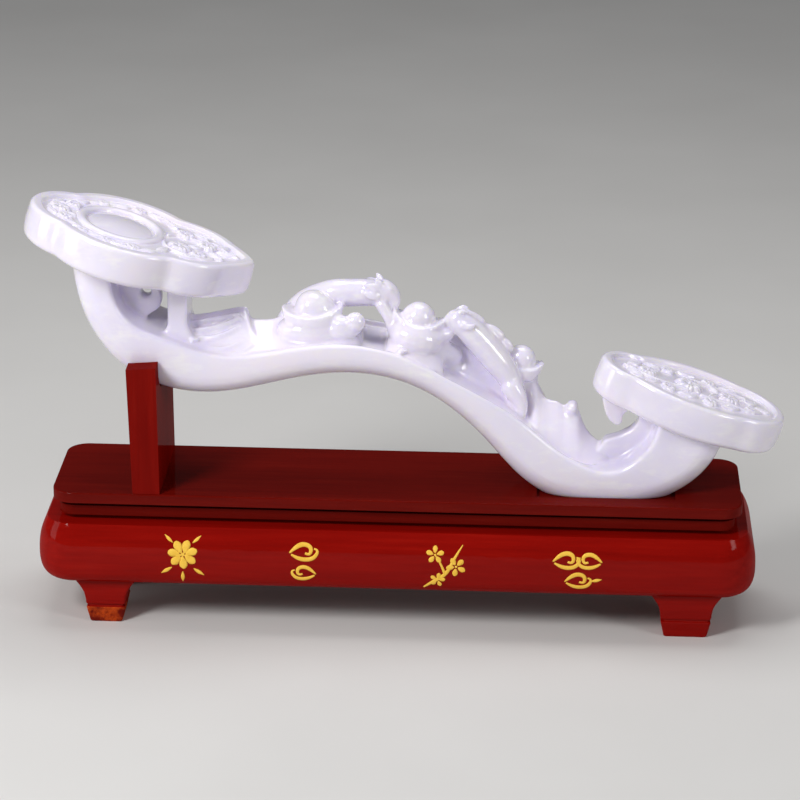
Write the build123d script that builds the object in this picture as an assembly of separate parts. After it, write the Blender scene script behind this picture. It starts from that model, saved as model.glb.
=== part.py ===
from build123d import *
import math
import os

# A carved white stone ruyi scepter, resting in its lacquered wooden stand.
# X runs along the scepter, Y from front to back, Z up. Z = 0 is the floor,
# and X = 0 is halfway between the two ends of the scepter.

# Scepter, overall
scepter_length = 417.2
handle_height = 141.4        # middle of the head's top face above the foot
shaft_width = 50.0
underside_round = 13.0       # rounding along both edges of the underside
rim_round = 1.6
rim_width = 4.0              # plain border on each side of the carved channel
channel_depth = 3.0

# Head plaque, the large lobed plate at the left end
head_length = 126.7
head_width = 90.0
head_thickness = 20.0
head_tilt = 15.7             # degrees, left end up
head_rim = 6.0
head_field_depth = 1.2       # the relief field lies below the rim
medallion_radius = 23.0
medallion_ring = 2.6
medallion_rise = 1.9

# Tail plaque, the smaller lobed plate at the right end
tail_length = 106.4
tail_width = 66.0
tail_thickness = 19.8
tail_tilt = 18.3
tail_height = 58.8           # middle of its top face above the foot
tail_rim = 5.0
tail_field_depth = 1.2
tail_boss_length = 46.0
tail_boss_width = 26.0
tail_boss_rise = 1.6
plaque_edge_round = 1.5
crease_round = 3.0           # softens the notches between the lobes

# Hooks that curl in under each plaque, and the strut under the head
hook_width = 10.0
head_hook_eye = 3.1          # radius of its eye
tail_hook_eye = 4.1
strut_length = 10.6
strut_width = 30.0
strut_flare = 3.4
strut_round = 1.5

# Figures carved along the handle
leaf_length = 37.0
leaf_rise = 16.0
leaf_width = 26.0
ingot_1_length = 34.0
ingot_1_width = 27.0
ingot_1_rise = 16.2          # middle of its cap above the handle's rim
ingot_1_cap = 9.6
ingot_2_length = 28.0
ingot_2_width = 23.0
ingot_2_rise = 18.0
ingot_2_cap = 8.8
ingot_3_length = 25.0
ingot_3_width = 20.0
ingot_3_rise = 20.6
ingot_3_cap = 7.2
hull_depth = 9.0
bead_radius = 4.9
bead_rise = 12.4
beast_1_radius = 8.0
beast_1_head = 6.6
beast_2_radius = 9.4
beast_2_head = 6.4
leg_radius = 3.4
ribbon_radius = 10.0

# Stand, overall
stand_shift = -3.2           # the stand's middle lies a little left of X = 0
board_length = 377.6
board_depth = 75.6
board_thickness = 6.0
board_corner = 12.0
board_edge_round = 0.8
recess_depth = 1.5
recess_clearance = 0.8       # around the scepter's foot

# Frame under the board: a grooved waist over a bulged apron
waist_thickness = 7.5
waist_inset = 3.5            # strip, back from the board's edge
shadow_inset = 5.5           # thin groove right under the board
groove_inset = 6.5           # deeper groove over the apron
shadow_height = 2.6
strip_height = 5.6
groove_height = 2.7
apron_height = 34.9
apron_inner_inset = 11.0
apron_bulge = 8.6            # furthest out, beyond the board's edge
apron_top_out = 3.6
apron_bottom_in = 0.8
foot_height = 24.8

# Bracket feet
foot_spread = 160.0          # from the stand's middle to the middle of a foot
foot_depth = 26.0
foot_left_width = 22.0
foot_right_width = 28.0
foot_flare = 5.5
ledge_height = 11.2
notch_height = 2.0
notch_inset = 0.8
foot_taper = 2.0
corner_block_width = 20.0
corner_block_round = 4.0

# Cradle post, which holds the handle near its head end
post_length = 14.8
post_width = 65.0
post_left_lean = 2.3         # each face leans to the left by this much at the top
post_right_lean = 0.9
post_front_top = 74.0        # top of its left edge above the board
post_top_slope = 5.0         # degrees
post_share = -0.332          # place along the scepter, as a share of its length
cradle_clearance = 0.5
tenon_length = 9.6
tenon_width = 40.0
tenon_height = 3.0

# Screws, all driven up from below
screw_radius = 1.75
screw_head_radius = 3.4
screw_head_height = 2.0
post_screw_length = 22.0
post_screw_spacing = 26.0
board_screw_length = 12.0
screw_fit = 0.05
board_screw_bite = 4.0       # how far the board's screws reach into it

# One overrun serves every cut
overrun = 30.0

# Shapes used in several places
BASE = (Align.CENTER, Align.CENTER, Align.MIN)
quarter_turn = 90
corner_turn = 45
HANGING = (Align.CENTER, Align.CENTER, Align.MAX)

# Heights that follow from the sizes above
apron_bottom = foot_height
apron_top = apron_bottom + apron_height
groove_top = apron_top + groove_height
strip_top = groove_top + strip_height
board_bottom = strip_top + shadow_height
board_top = board_bottom + board_thickness
foot_floor = board_top - recess_depth
corner_block_height = board_bottom - foot_height

# Outline of the handle seen from the front, from the head to the tail. Each
# pair is a share of the length from the middle and a share of the height
# above the foot. The ends run on into the plaques, which trim them.
underside_shares = (
    (-0.434, 1.02), (-0.430, 0.849), (-0.4205, 0.715), (-0.394, 0.562),
    (-0.364, 0.472), (-0.321, 0.407), (-0.270, 0.378), (-0.207, 0.398),
    (-0.136, 0.449), (-0.0705, 0.471), (0.008, 0.428), (0.060, 0.339),
    (0.112, 0.195), (0.152, 0.066), (0.1845, -0.0035), (0.267, -0.0735),
    (0.350, -0.0015), (0.388, 0.081), (0.413, 0.190), (0.424, 0.30),
)
rim_shares = (
    (-0.3785, 1.0), (-0.379, 0.830), (-0.3665, 0.7185), (-0.349, 0.665),
    (-0.324, 0.630), (-0.283, 0.583), (-0.228, 0.551), (-0.180, 0.5665),
    (-0.125, 0.5955), (-0.068, 0.605), (-0.019, 0.580), (0.033, 0.5155),
    (0.0665, 0.464), (0.113, 0.3895), (0.161, 0.295), (0.202, 0.195),
    (0.235, 0.138), (0.264, 0.1125), (0.288, 0.130), (0.309, 0.178),
    (0.325, 0.240), (0.332, 0.310), (0.334, 0.42),
)
channel_start_share = -0.285
channel_end_share = 0.262

# Lobed outlines, as shares of half the plaque's length and of half its width:
# a lobe runs from one corner through its middle to the next corner.
head_lobe_shares = (
    ((-0.68, -0.62), (-1.0, 0.0), (-0.68, 0.62)),
    ((-0.68, 0.62), (-0.17, 1.0), (0.30, 0.76)),
    ((0.30, 0.76), (0.58, 0.68), (0.80, 0.39)),
    ((0.80, 0.39), (0.915, 0.205), (1.0, 0.0)),
    ((1.0, 0.0), (0.915, -0.205), (0.80, -0.39)),
    ((0.80, -0.39), (0.58, -0.68), (0.30, -0.76)),
    ((0.30, -0.76), (-0.17, -1.0), (-0.68, -0.62)),
)
tail_lobe_shares = (
    ((-0.64, -0.60), (-1.0, 0.0), (-0.64, 0.60)),
    ((-0.64, 0.60), (0.05, 1.0), (0.56, 0.80)),
    ((0.56, 0.80), (1.0, 0.0), (0.56, -0.80)),
    ((0.56, -0.80), (0.05, -1.0), (-0.64, -0.60)),
)
medallion_share = -0.20      # its middle, as a share of half the head's length
tail_boss_share = -0.02

# Places along the handle, as shares of the scepter's length from the middle,
# and across it, as shares of half the shaft's width
strut_share = -0.2962
leaf_share, leaf_across_share = -0.247, 0.10
ingot_1_share, ingot_1_across_share = -0.119, -0.20
ingot_2_share, ingot_2_across_share = 0.0085, -0.04
ingot_3_share, ingot_3_across_share = 0.138, 0.45
bead_share, bead_across_share = -0.0635, -0.56
beast_1_across_share = 0.18
beast_2_across_share = 0.0
ribbon_across_share = 0.20

# Outlines and axes of the carved pieces in the front view, as shares like the
# handle's own: a hook has its curled edge first, then its hidden side.
head_hook_edge_shares = ((-0.3207, 0.86), (-0.3205, 0.767), (-0.3188, 0.730), (-0.3230, 0.690),
                         (-0.3335, 0.668), (-0.3415, 0.630))
head_hook_side_shares = ((-0.379, 0.630), (-0.379, 0.86))
head_hook_eye_shares = (-0.3392, 0.757)
tail_hook_edge_shares = ((0.2590, 0.45), (0.2590, 0.350), (0.2640, 0.295), (0.2765, 0.254),
                         (0.2850, 0.262), (0.2880, 0.290))
tail_hook_side_shares = ((0.2955, 0.277), (0.2955, 0.14), (0.331, 0.14), (0.331, 0.45))
tail_hook_eye_shares = (0.2955, 0.277)
beast_1_torsos = (           # start, end, share of the body's radius
    ((-0.161, 0.630), (-0.082, 0.752), 1.12),
    ((-0.122, 0.740), (-0.016, 0.760), 1.0),
)
beast_1_head_shares, beast_1_muzzle_shares = (-0.0300, 0.776), (-0.0185, 0.742)
beast_1_legs = (             # hip, paw
    ((-0.022, 0.740), (-0.008, 0.560)),
    ((-0.135, 0.690), (-0.140, 0.560)),
)
beast_2_torsos = (
    ((0.062, 0.668), (0.150, 0.372), 1.0),
    ((0.131, 0.480), (0.153, 0.235), 0.72),
)
beast_2_head_shares, beast_2_muzzle_shares = (0.0675, 0.664), (0.0565, 0.647)
beast_2_legs = (
    ((0.072, 0.620), (0.058, 0.480)),
)
ribbon_folds = (
    ((0.166, 0.245), (0.219, 0.262), 1.05),
    ((0.2195, 0.330), (0.2215, 0.120), 0.62),
    ((0.198, 0.215), (0.297, 0.050), 0.70),
)

# Shapes of the carved pieces, as shares of the sizes that they are named after
girth_shares = ((0.0, 0.0), (0.13, 0.80), (0.45, 1.0), (0.76, 0.88), (0.92, 0.62), (1.0, 0.0))
boss_round_share = 0.7
ear_share = 0.12
hull_share = 0.90
keel_share = 0.62
plinth_share = 0.78
bead_neck_share = 0.7
muzzle_share = 0.66
ear_back_share, ear_side_share, ear_rise_share = 0.35, 0.5, 0.85
ear_size_share = 0.34
ingot_lean_share = 0.5       # an ingot leans half as much as the rim does
leaf_side_shares = ((-0.53, 0.50), (-0.28, 0.75), (0.09, 0.89), (0.43, 1.0), (0.48, 0.74),
                    (0.60, 0.45), (0.68, 0.10))
leaf_tip = 3
leaf_plan_shares = ((-0.56, 0.0), (-0.15, -0.46), (0.30, -0.40), (0.70, 0.0), (0.30, 0.40),
                    (-0.15, 0.46))
bulge_upper_share, bulge_upper_height_share = 0.88, 0.72
bulge_height_share = 0.45
bulge_lower_share, bulge_lower_height_share = 0.72, 0.10
curve_steps = 30


def on_outline(shares):
    """A point of the front view, from its two shares."""
    along_share, up_share = shares
    return Vector(along_share * scepter_length, 0, foot_floor + up_share * handle_height)


def rim_height(along_share):
    """Height of the handle's rim over the floor, at a share of the length."""
    for (start, low), (end, high) in zip(rim_shares, rim_shares[1:]):
        if start <= along_share <= end:
            part_share = (along_share - start) / (end - start)
            return on_outline((along_share, low + part_share * (high - low))).Z
    raise ValueError("the handle has no rim there")


def on_rim(along_share, across_share=0.0):
    """A point on the level of the rim, at shares of the length and half width."""
    across = across_share * shaft_width / 2
    return Vector(along_share * scepter_length, across, rim_height(along_share))


def across(edges, width):
    """A solid made from a closed outline in the front view, centred on Y = 0."""
    return extrude(make_face(edges), amount=width / 2, dir=(0, 1, 0), both=True)


def upright(sketch, low, high):
    """A solid made from a plan, between two heights."""
    return Pos(0, 0, low) * extrude(sketch, amount=high - low)


def front_polygon(points):
    """Straight edges through points of the front view, closed."""
    corners = [Vector(x, 0, z) for x, z in points]
    return [Line(a, b) for a, b in zip(corners, corners[1:] + corners[:1])]


def one_solid(shape):
    """The largest solid of a cut shape, so that no sliver stays with it."""
    return max(shape.solids(), key=lambda solid: solid.volume)


def plaque_plane(middle, tilt):
    """The plane of a plaque's top face: x along it, z out of it."""
    turn = math.radians(tilt)
    along = (math.cos(turn), 0, -math.sin(turn))
    return Plane(middle, x_dir=along, z_dir=(math.sin(turn), 0, math.cos(turn)))


def head_plane():
    turn = math.radians(head_tilt)
    reach = head_length / 2 * math.cos(turn) + head_thickness * math.sin(turn)
    middle = Vector(reach - scepter_length / 2, 0, foot_floor + handle_height)
    return plaque_plane(middle, head_tilt)


def tail_plane():
    reach = tail_length / 2 * math.cos(math.radians(tail_tilt))
    middle = Vector(scepter_length / 2 - reach, 0, foot_floor + tail_height)
    return plaque_plane(middle, tail_tilt)


def lobed_face(lobe_shares, length, width):
    """A closed outline of arcs, one for each lobe."""
    arcs = []
    for lobe in lobe_shares:
        points = [(u * length / 2, v * width / 2) for u, v in lobe]
        arcs.append(ThreePointArc(*points))
    return make_face(arcs)


def plaque(lobe_shares, length, width, thickness, rim, field_depth):
    """A lobed plate lying under Z = 0, with a sunk field inside its rim."""
    plate = extrude(lobed_face(lobe_shares, length, width), amount=-thickness)
    plate = fillet(plate.edges().filter_by(Axis.Z), crease_round)
    plate = fillet(plate.edges().group_by(Axis.Z)[0], plaque_edge_round)
    plate = fillet(plate.edges().group_by(Axis.Z)[-1], plaque_edge_round)
    field = lobed_face(lobe_shares, length - 2 * rim, width - 2 * rim)
    return plate - extrude(field, amount=-field_depth)


def dome(radius, rise):
    """A cap of a ball, standing on Z = 0."""
    ball_radius = (radius ** 2 + rise ** 2) / (2 * rise)
    ball = Pos(0, 0, rise - ball_radius) * Sphere(ball_radius)
    return ball & upright(Circle(radius), 0, rise)


def medallion():
    """Round boss inside a plain ring."""
    ring = Circle(medallion_radius) - Circle(medallion_radius - medallion_ring)
    bank = upright(ring, 0, head_field_depth)
    inner = medallion_radius - 2 * medallion_ring
    return bank, dome(inner, medallion_rise)


def head_plaque():
    plate = plaque(head_lobe_shares, head_length, head_width, head_thickness, head_rim,
                   head_field_depth)
    place = Pos(medallion_share * head_length / 2, 0, -head_field_depth)
    ring, boss = medallion()
    return head_plane() * one_solid(plate + place * ring + place * boss)


def tail_plaque():
    plate = plaque(tail_lobe_shares, tail_length, tail_width, tail_thickness, tail_rim,
                   tail_field_depth)
    boss = upright(Ellipse(tail_boss_length / 2, tail_boss_width / 2), 0, tail_boss_rise)
    boss = fillet(boss.edges().sort_by(Axis.Z)[-1], tail_boss_rise * boss_round_share)
    place = Pos(tail_boss_share * tail_length / 2, 0, -tail_field_depth)
    return tail_plane() * one_solid(plate + place * boss)


def above(plane, thickness):
    """Everything on the upper side of a plaque's underside."""
    low = plane.offset(-thickness)
    return low * Box(scepter_length, shaft_width + 2 * overrun, handle_height, align=BASE)


def above_head():
    return above(head_plane(), head_thickness)


def above_tail():
    return above(tail_plane(), tail_thickness)


def handle_blank():
    """Front outline at full width, with both edges of the underside rounded."""
    lower = [on_outline(pair) for pair in underside_shares]
    upper = [on_outline(pair) for pair in rim_shares]
    edges = [Spline(*lower), Line(lower[-1], upper[-1]), Spline(*upper), Line(upper[0], lower[0])]
    blank = across(edges, shaft_width)
    sides = [e for e in blank.edges().filter_by(GeomType.BSPLINE)
             if abs(abs(e.center().Y) - shaft_width / 2) < rim_round]
    sides = sorted(sides, key=lambda edge: edge.center().Z)
    blank = fillet(sides[:2], underside_round)
    tops = [e for e in blank.edges().filter_by(GeomType.BSPLINE)
            if abs(abs(e.center().Y) - shaft_width / 2) < rim_round]
    tops = sorted(tops, key=lambda edge: edge.center().Z)
    return fillet(tops[-2:], rim_round)


def channel():
    """The sunk stretch along the handle's upper side, with round ends in plan."""
    shares = [channel_start_share, *[along for along, _ in rim_shares
                                     if channel_start_share < along < channel_end_share],
              channel_end_share]
    floor = [on_rim(share) - Vector(0, 0, channel_depth) for share in shares]
    lift = Vector(0, 0, 2 * overrun)
    edges = [Spline(*floor), Line(floor[-1], floor[-1] + lift),
             Line(floor[-1] + lift, floor[0] + lift), Line(floor[0] + lift, floor[0])]
    width = shaft_width - 2 * rim_width
    length = (channel_end_share - channel_start_share) * scepter_length
    middle = (channel_end_share + channel_start_share) / 2 * scepter_length
    plan = Pos(middle, 0) * SlotOverall(length, width)
    return two_view(across(edges, width), plan)


def scepter_shaft():
    """Arched handle with its two curling stems and its flat foot."""
    shaft = handle_blank() - above_head() - above_tail()
    shaft -= Pos(0, 0, foot_floor) * Box(scepter_length, shaft_width + overrun, handle_height,
                                         align=HANGING)
    return one_solid(shaft - channel())


def hook(edge_shares, side_shares, eye_shares, eye_radius):
    """A curled plate under a plaque, open at its eye."""
    edge = [on_outline(pair) for pair in edge_shares]
    side = [edge[-1], *[on_outline(pair) for pair in side_shares], edge[0]]
    outline = [Spline(*edge), *[Line(a, b) for a, b in zip(side, side[1:])]]
    eye = Pos(on_outline(eye_shares)) * Rot(quarter_turn, 0, 0) * Cylinder(eye_radius, overrun)
    return across(outline, hook_width) - eye


def head_hook(shaft):
    curl = hook(head_hook_edge_shares, head_hook_side_shares, head_hook_eye_shares,
                head_hook_eye)
    return one_solid(curl - [above_head(), shaft])


def tail_hook(shaft):
    curl = hook(tail_hook_edge_shares, tail_hook_side_shares, tail_hook_eye_shares,
                tail_hook_eye)
    return one_solid(curl - [above_tail(), shaft])


def head_strut(shaft):
    """Short pillar between the handle and the head, flared at its foot."""
    x = strut_share * scepter_length
    low = on_rim(strut_share).Z
    high = low + 2 * overrun
    half = strut_length / 2
    outer = half + strut_flare
    sides = [(x - half, high), (x + half, high), (x + half, low + 2 * strut_flare),
             (x + outer, low), (x + outer, low - 2 * channel_depth),
             (x - outer, low - 2 * channel_depth), (x - outer, low),
             (x - half, low + 2 * strut_flare)]
    pillar = across(front_polygon(sides), strut_width)
    pillar = fillet(pillar.edges().filter_by(Axis.Z), strut_round)
    return one_solid(pillar - [above_head(), shaft])


def two_view(profile, plan):
    """What a front view and a plan have in common."""
    return profile & upright(plan, foot_floor - overrun, foot_floor + 2 * handle_height)


def ingot(length, width, rise, cap):
    """A boat-shaped ingot on a low plinth: two raised ends, a round cap between them."""
    half = length / 2
    ear = rise * ear_share
    keel = rise - hull_depth
    hull = [
        Spline(Vector(-half, 0, rise + ear), Vector(-half * hull_share, 0, rise - hull_depth / 2),
               Vector(-half * keel_share, 0, keel)),
        Line(Vector(-half * keel_share, 0, keel), Vector(half * keel_share, 0, keel)),
        Spline(Vector(half * keel_share, 0, keel),
               Vector(half * hull_share, 0, rise - hull_depth / 2), Vector(half, 0, rise + ear)),
        ThreePointArc(Vector(half, 0, rise + ear), Vector(0, 0, rise - ear),
                      Vector(-half, 0, rise + ear)),
    ]
    boat = across(hull, width) & upright(Ellipse(half, width / 2), keel, rise + 2 * ear)
    plinth = upright(Ellipse(half * plinth_share, width / 2 * plinth_share), -rise, rise - ear)
    return boat + plinth + Pos(0, 0, rise) * Sphere(cap)


def seat(figure, place, lean, below):
    """A figure set on the handle and cut to fit what it stands on."""
    return one_solid(Pos(place) * Rot(0, lean, 0) * figure - below)


def lean_of_rim(along_share, reach_share):
    """The slope of the rim about a place, in degrees, falling to the right."""
    start = on_rim(along_share - reach_share)
    end = on_rim(along_share + reach_share)
    return math.degrees(math.atan2(start.Z - end.Z, end.X - start.X))


def ingots(shaft):
    """The three ingots along the handle."""
    made = []
    for along_share, across_share, length, width, rise, cap in (
            (ingot_1_share, ingot_1_across_share, ingot_1_length, ingot_1_width,
             ingot_1_rise, ingot_1_cap),
            (ingot_2_share, ingot_2_across_share, ingot_2_length, ingot_2_width,
             ingot_2_rise, ingot_2_cap),
            (ingot_3_share, ingot_3_across_share, ingot_3_length, ingot_3_width,
             ingot_3_rise, ingot_3_cap)):
        lean = lean_of_rim(along_share, length / 2 / scepter_length) * ingot_lean_share
        made.append(seat(ingot(length, width, rise, cap), on_rim(along_share, across_share),
                         lean, [shaft]))
    return made


def bead(shaft, beside):
    """A small round bead on the rim side of the channel."""
    figure = Pos(0, 0, bead_rise) * Sphere(bead_radius)
    figure += Pos(0, 0, bead_rise) * Cylinder(
        bead_radius * bead_neck_share, bead_rise + 2 * channel_depth, align=HANGING)
    return seat(figure, on_rim(bead_share, bead_across_share), 0, [beside, shaft])


def torso(start, end, radius):
    """A round body that swells and tapers along a straight axis."""
    run = end - start
    points = [Vector(u * run.length, v * radius, 0) for u, v in girth_shares]
    outline = Spline(*points, tangents=[(0, 1, 0), (0, -1, 0)])
    body = revolve(make_face([outline, Line(points[-1], points[0])]), Axis.X)
    return Plane(start, x_dir=run, z_dir=(0, 1, 0)) * body


def leg(top, foot):
    """A round leg between two points, with a rounded paw."""
    run = foot - top
    shank = Plane(top, z_dir=run) * Cylinder(leg_radius, run.length, align=BASE)
    return shank + Pos(foot) * Sphere(leg_radius)


def beast_head(middle, muzzle, radius):
    """A round head with a muzzle and two small ears behind it."""
    head = Pos(middle) * Sphere(radius) + Pos(muzzle) * Sphere(radius * muzzle_share)
    back = math.copysign(radius * ear_back_share, middle.X - muzzle.X)
    for side in (-1, 1):
        ear = middle + Vector(back, side * radius * ear_side_share, radius * ear_rise_share)
        head += Pos(ear) * Sphere(radius * ear_size_share)
    return head


def beast(across_share, torsos, radius, head, muzzle, head_radius, legs):
    """A long-bodied beast: its torsos, its head and two pairs of legs."""
    middle = Vector(0, across_share * shaft_width / 2, 0)
    body = beast_head(on_outline(head) + middle, on_outline(muzzle) + middle, head_radius)
    for start, end, girth_share in torsos:
        body += torso(on_outline(start) + middle, on_outline(end) + middle, radius * girth_share)
    for hip, paw in legs:
        for side in (-1, 1):
            spread = middle + Vector(0, side * radius / 2, 0)
            body += leg(on_outline(hip) + spread, on_outline(paw) + spread)
    return body


def beast_1(shaft, below):
    """A beast along the top of the arch, its belly clear of the handle."""
    figure = beast(beast_1_across_share, beast_1_torsos, beast_1_radius, beast_1_head_shares,
                   beast_1_muzzle_shares, beast_1_head, beast_1_legs)
    return one_solid(figure - [*below, shaft])


def beast_2(shaft, below):
    """A beast climbing the slope: head up, haunches down in the channel."""
    figure = beast(beast_2_across_share, beast_2_torsos, beast_2_radius, beast_2_head_shares,
                   beast_2_muzzle_shares, beast_2_head, beast_2_legs)
    return one_solid(figure - [*below, shaft])


def pointed_leaf(shaft, below):
    """A long leaf rising to a tip, with its fold lying beside it."""
    seat_point = on_rim(leaf_share, leaf_across_share)
    base = Vector(seat_point.X, 0, seat_point.Z)
    sink = 2 * channel_depth
    points = [base + Vector(u * leaf_length, 0, v * leaf_rise) for u, v in leaf_side_shares]
    ends = [points[-1] - Vector(0, 0, sink), points[0] - Vector(0, 0, sink)]
    edges = [Spline(*points[:leaf_tip + 1]), Spline(*points[leaf_tip:]),
             Line(points[-1], ends[0]), Line(ends[0], ends[1]), Line(ends[1], points[0])]
    plan = [(base.X + u * leaf_length, seat_point.Y + v * leaf_width) for u, v in leaf_plan_shares]
    blade = two_view(across(edges, shaft_width), make_face(Spline(*plan, periodic=True)))
    return one_solid(blade - [*below, shaft])


def ribbon_leaf(shaft, below):
    """A folded ribbon with two peaks, running down into the tail's stem."""
    middle = Vector(0, ribbon_across_share * shaft_width / 2, 0)
    folds = [torso(on_outline(start) + middle, on_outline(end) + middle,
                   ribbon_radius * girth_share) for start, end, girth_share in ribbon_folds]
    return one_solid(folds[0] + folds[1] + folds[2] - [*below, shaft])


def rail(section, half_length, reach):
    """One side of a frame, mitred at 45 degrees round its two corners.

    The section stands outward of the corner's axis, which lies at reach from
    the stand's middle; half_length is half the straight run between corners.
    """
    run = extrude(section, amount=half_length, dir=(0, 1, 0), both=True)
    half_corner = Rot(0, 0, -corner_turn) * revolve(section, Axis.Z, corner_turn)
    left = revolve(section, Axis.Z, corner_turn)
    straight = run + Pos(0, half_length, 0) * left + Pos(0, -half_length, 0) * half_corner
    return Pos(reach, 0, 0) * straight


def frame_rails(name, section):
    """The four rails of one frame, each turned to its side."""
    long_run = board_length / 2 - board_corner
    short_run = board_depth / 2 - board_corner
    sides = (("front", -quarter_turn, long_run, short_run), ("right", 0, short_run, long_run),
             ("back", quarter_turn, long_run, short_run),
             ("left", 2 * quarter_turn, short_run, long_run))
    for side, turn, half_length, reach in sides:
        made = Rot(0, 0, turn) * rail(section, half_length, reach)
        save(name + "_" + side, Pos(stand_shift, 0, 0) * made)


def waist_section():
    """Shadow groove, strip and deeper groove, from the top down."""
    inner = board_corner - waist_inset - waist_thickness
    strip = board_corner - waist_inset
    shadow = board_corner - shadow_inset
    groove = board_corner - groove_inset
    return make_face(front_polygon([
        (inner, apron_top), (groove, apron_top), (groove, groove_top), (strip, groove_top),
        (strip, strip_top), (shadow, strip_top), (shadow, board_bottom),
        (inner, board_bottom)]))


def apron_section():
    """Bulged apron: a swelling front over a flat back."""
    inner = board_corner - apron_inner_inset
    outer = [(board_corner + out, apron_bottom + up_share * apron_height) for out, up_share in (
        (apron_top_out, 1.0), (apron_bulge * bulge_upper_share, bulge_upper_height_share),
        (apron_bulge, bulge_height_share),
        (apron_bulge * bulge_lower_share, bulge_lower_height_share),
        (-apron_bottom_in, 0.0))]
    curve = Spline(*[Vector(x, 0, z) for x, z in outer])
    back = [Line(curve @ 1, (inner, 0, apron_bottom)),
            Line((inner, 0, apron_bottom), (inner, 0, apron_top)),
            Line((inner, 0, apron_top), curve @ 0)]
    return make_face([curve] + back)


def screw(length):
    """A countersunk wood screw, its head at the bottom and its top at length."""
    head = Cone(screw_head_radius, screw_radius, screw_head_height, align=BASE)
    shank = Cylinder(screw_radius, length, align=BASE)
    point = Pos(0, 0, length) * Cone(screw_radius, 0, screw_head_height, align=BASE)
    return head + shank + point


def screw_hole(length):
    """The room that a screw takes, with its running fit."""
    head = Cone(screw_head_radius + screw_fit, screw_radius + screw_fit, screw_head_height,
                align=BASE)
    shank = Cylinder(screw_radius + screw_fit, length, align=BASE)
    point = Pos(0, 0, length) * Cone(screw_radius + screw_fit, 0, screw_head_height + screw_fit,
                                     align=BASE)
    return head + shank + point


def post_screw_places():
    return [Pos(post_middle(), side * post_screw_spacing / 2, board_bottom) for side in (-1, 1)]


def block_places():
    """The middles of the four corner blocks, in plan."""
    out = (board_length / 2 - apron_inner_inset - corner_block_width / 2,
           board_depth / 2 - apron_inner_inset - corner_block_width / 2)
    return [(stand_shift + i * out[0], j * out[1]) for i in (-1, 1) for j in (-1, 1)]


def board_screw_places():
    """Screws that stand in the corner blocks and hold the board down."""
    return [Pos(x, y, board_bottom + board_screw_bite - board_screw_length)
            for x, y in block_places()]


def post_middle():
    return post_share * scepter_length


def top_board():
    """Board with rounded corners, a recess for the foot and a mortise."""
    outline = RectangleRounded(board_length, board_depth, board_corner)
    board = Pos(stand_shift, 0, 0) * upright(outline, board_bottom, board_top)
    board = fillet(board.edges().group_by(Axis.Z)[-1], board_edge_round)
    left, right = foot_span()
    length = right - left + 2 * recess_clearance
    plan = Pos((left + right) / 2, 0) * Rectangle(length, shaft_width + 2 * recess_clearance)
    board -= upright(plan, foot_floor, board_top + overrun)
    mortise = Pos(post_middle(), 0) * Rectangle(tenon_length, tenon_width)
    board -= upright(mortise, board_top - tenon_height, board_top + overrun)
    return one_solid(board - [place * screw_hole(post_screw_length)
                              for place in post_screw_places()]
                     - [place * screw_hole(board_screw_length)
                        for place in board_screw_places()])


def foot_span():
    """Where the underside passes through the board's top, from left to right."""
    points = [on_outline(pair) for pair in underside_shares]
    crossings = []
    for start, end in zip(points, points[1:]):
        if (start.Z - board_top) * (end.Z - board_top) < 0:
            part_share = (board_top - start.Z) / (end.Z - start.Z)
            crossings.append(start.X + part_share * (end.X - start.X))
    return crossings


def underside_at(x):
    """A point on the underside over a given X, and the direction it runs in there."""
    curve = Spline(*[on_outline(pair) for pair in underside_shares])
    low, high = 0.0, 1.0
    for _ in range(curve_steps):
        middle = (low + high) / 2
        if curve.position_at(middle).X < x:
            low = middle
        else:
            high = middle
    return curve.position_at(middle), curve.tangent_at(middle)


def cradle_space():
    """Room for the handle: its rounded section, run along its slope at the post."""
    point, slope = underside_at(post_middle())
    section = Pos(0, handle_height / 2) * RectangleRounded(
        shaft_width + 2 * cradle_clearance, handle_height, underside_round + cradle_clearance)
    across_slope = Plane(point - Vector(0, 0, cradle_clearance), x_dir=(0, 1, 0), z_dir=slope)
    if across_slope.y_dir.Z < 0:
        across_slope = Plane(across_slope.origin, x_dir=(0, -1, 0), z_dir=slope)
    return across_slope * extrude(section, amount=2 * post_length, both=True)


def cradle_post():
    """Post across the board: a fork that the handle lies in, and a tenon."""
    left = post_middle() - post_length / 2
    right = left + post_length
    low_top = board_top + post_front_top
    high_top = low_top + post_length * math.tan(math.radians(post_top_slope))
    side = [(left, board_top), (right, board_top), (right - post_right_lean, high_top),
            (left - post_left_lean, low_top)]
    slab = across(front_polygon(side), post_width) - cradle_space()
    tenon = Pos(post_middle(), 0) * Rectangle(tenon_length, tenon_width)
    post = slab + upright(tenon, board_top - tenon_height, board_top)
    return one_solid(post - [place * screw_hole(post_screw_length)
                             for place in post_screw_places()])


def bracket_foot(width, side_x, side_y):
    """Bracket foot: a flared bracket, a notch under its ledge and a tapered pad."""
    half = width / 2
    outline = [(-half - foot_flare, foot_height), (-half, ledge_height),
               (-half + notch_inset, ledge_height), (-half + notch_inset, ledge_height - notch_height),
               (-half + foot_taper, 0)]
    mirror = [(-x, z) for x, z in reversed(outline)]
    profile = across(front_polygon(outline + mirror), foot_depth)
    middle_y = board_depth / 2 + apron_bottom_in - foot_depth / 2
    foot = Pos(stand_shift + side_x * foot_spread, side_y * middle_y, 0) * profile
    return one_solid(foot)


def corner_block(x, y):
    """Square block in a corner of the frame, glued under the board."""
    block = Pos(x, y, board_bottom) * Box(corner_block_width, corner_block_width,
                                          corner_block_height, align=HANGING)
    block = fillet(block.edges().filter_by(Axis.Z), corner_block_round)
    holes = [place * screw_hole(board_screw_length) for place in board_screw_places()]
    return one_solid(block - holes)


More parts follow.
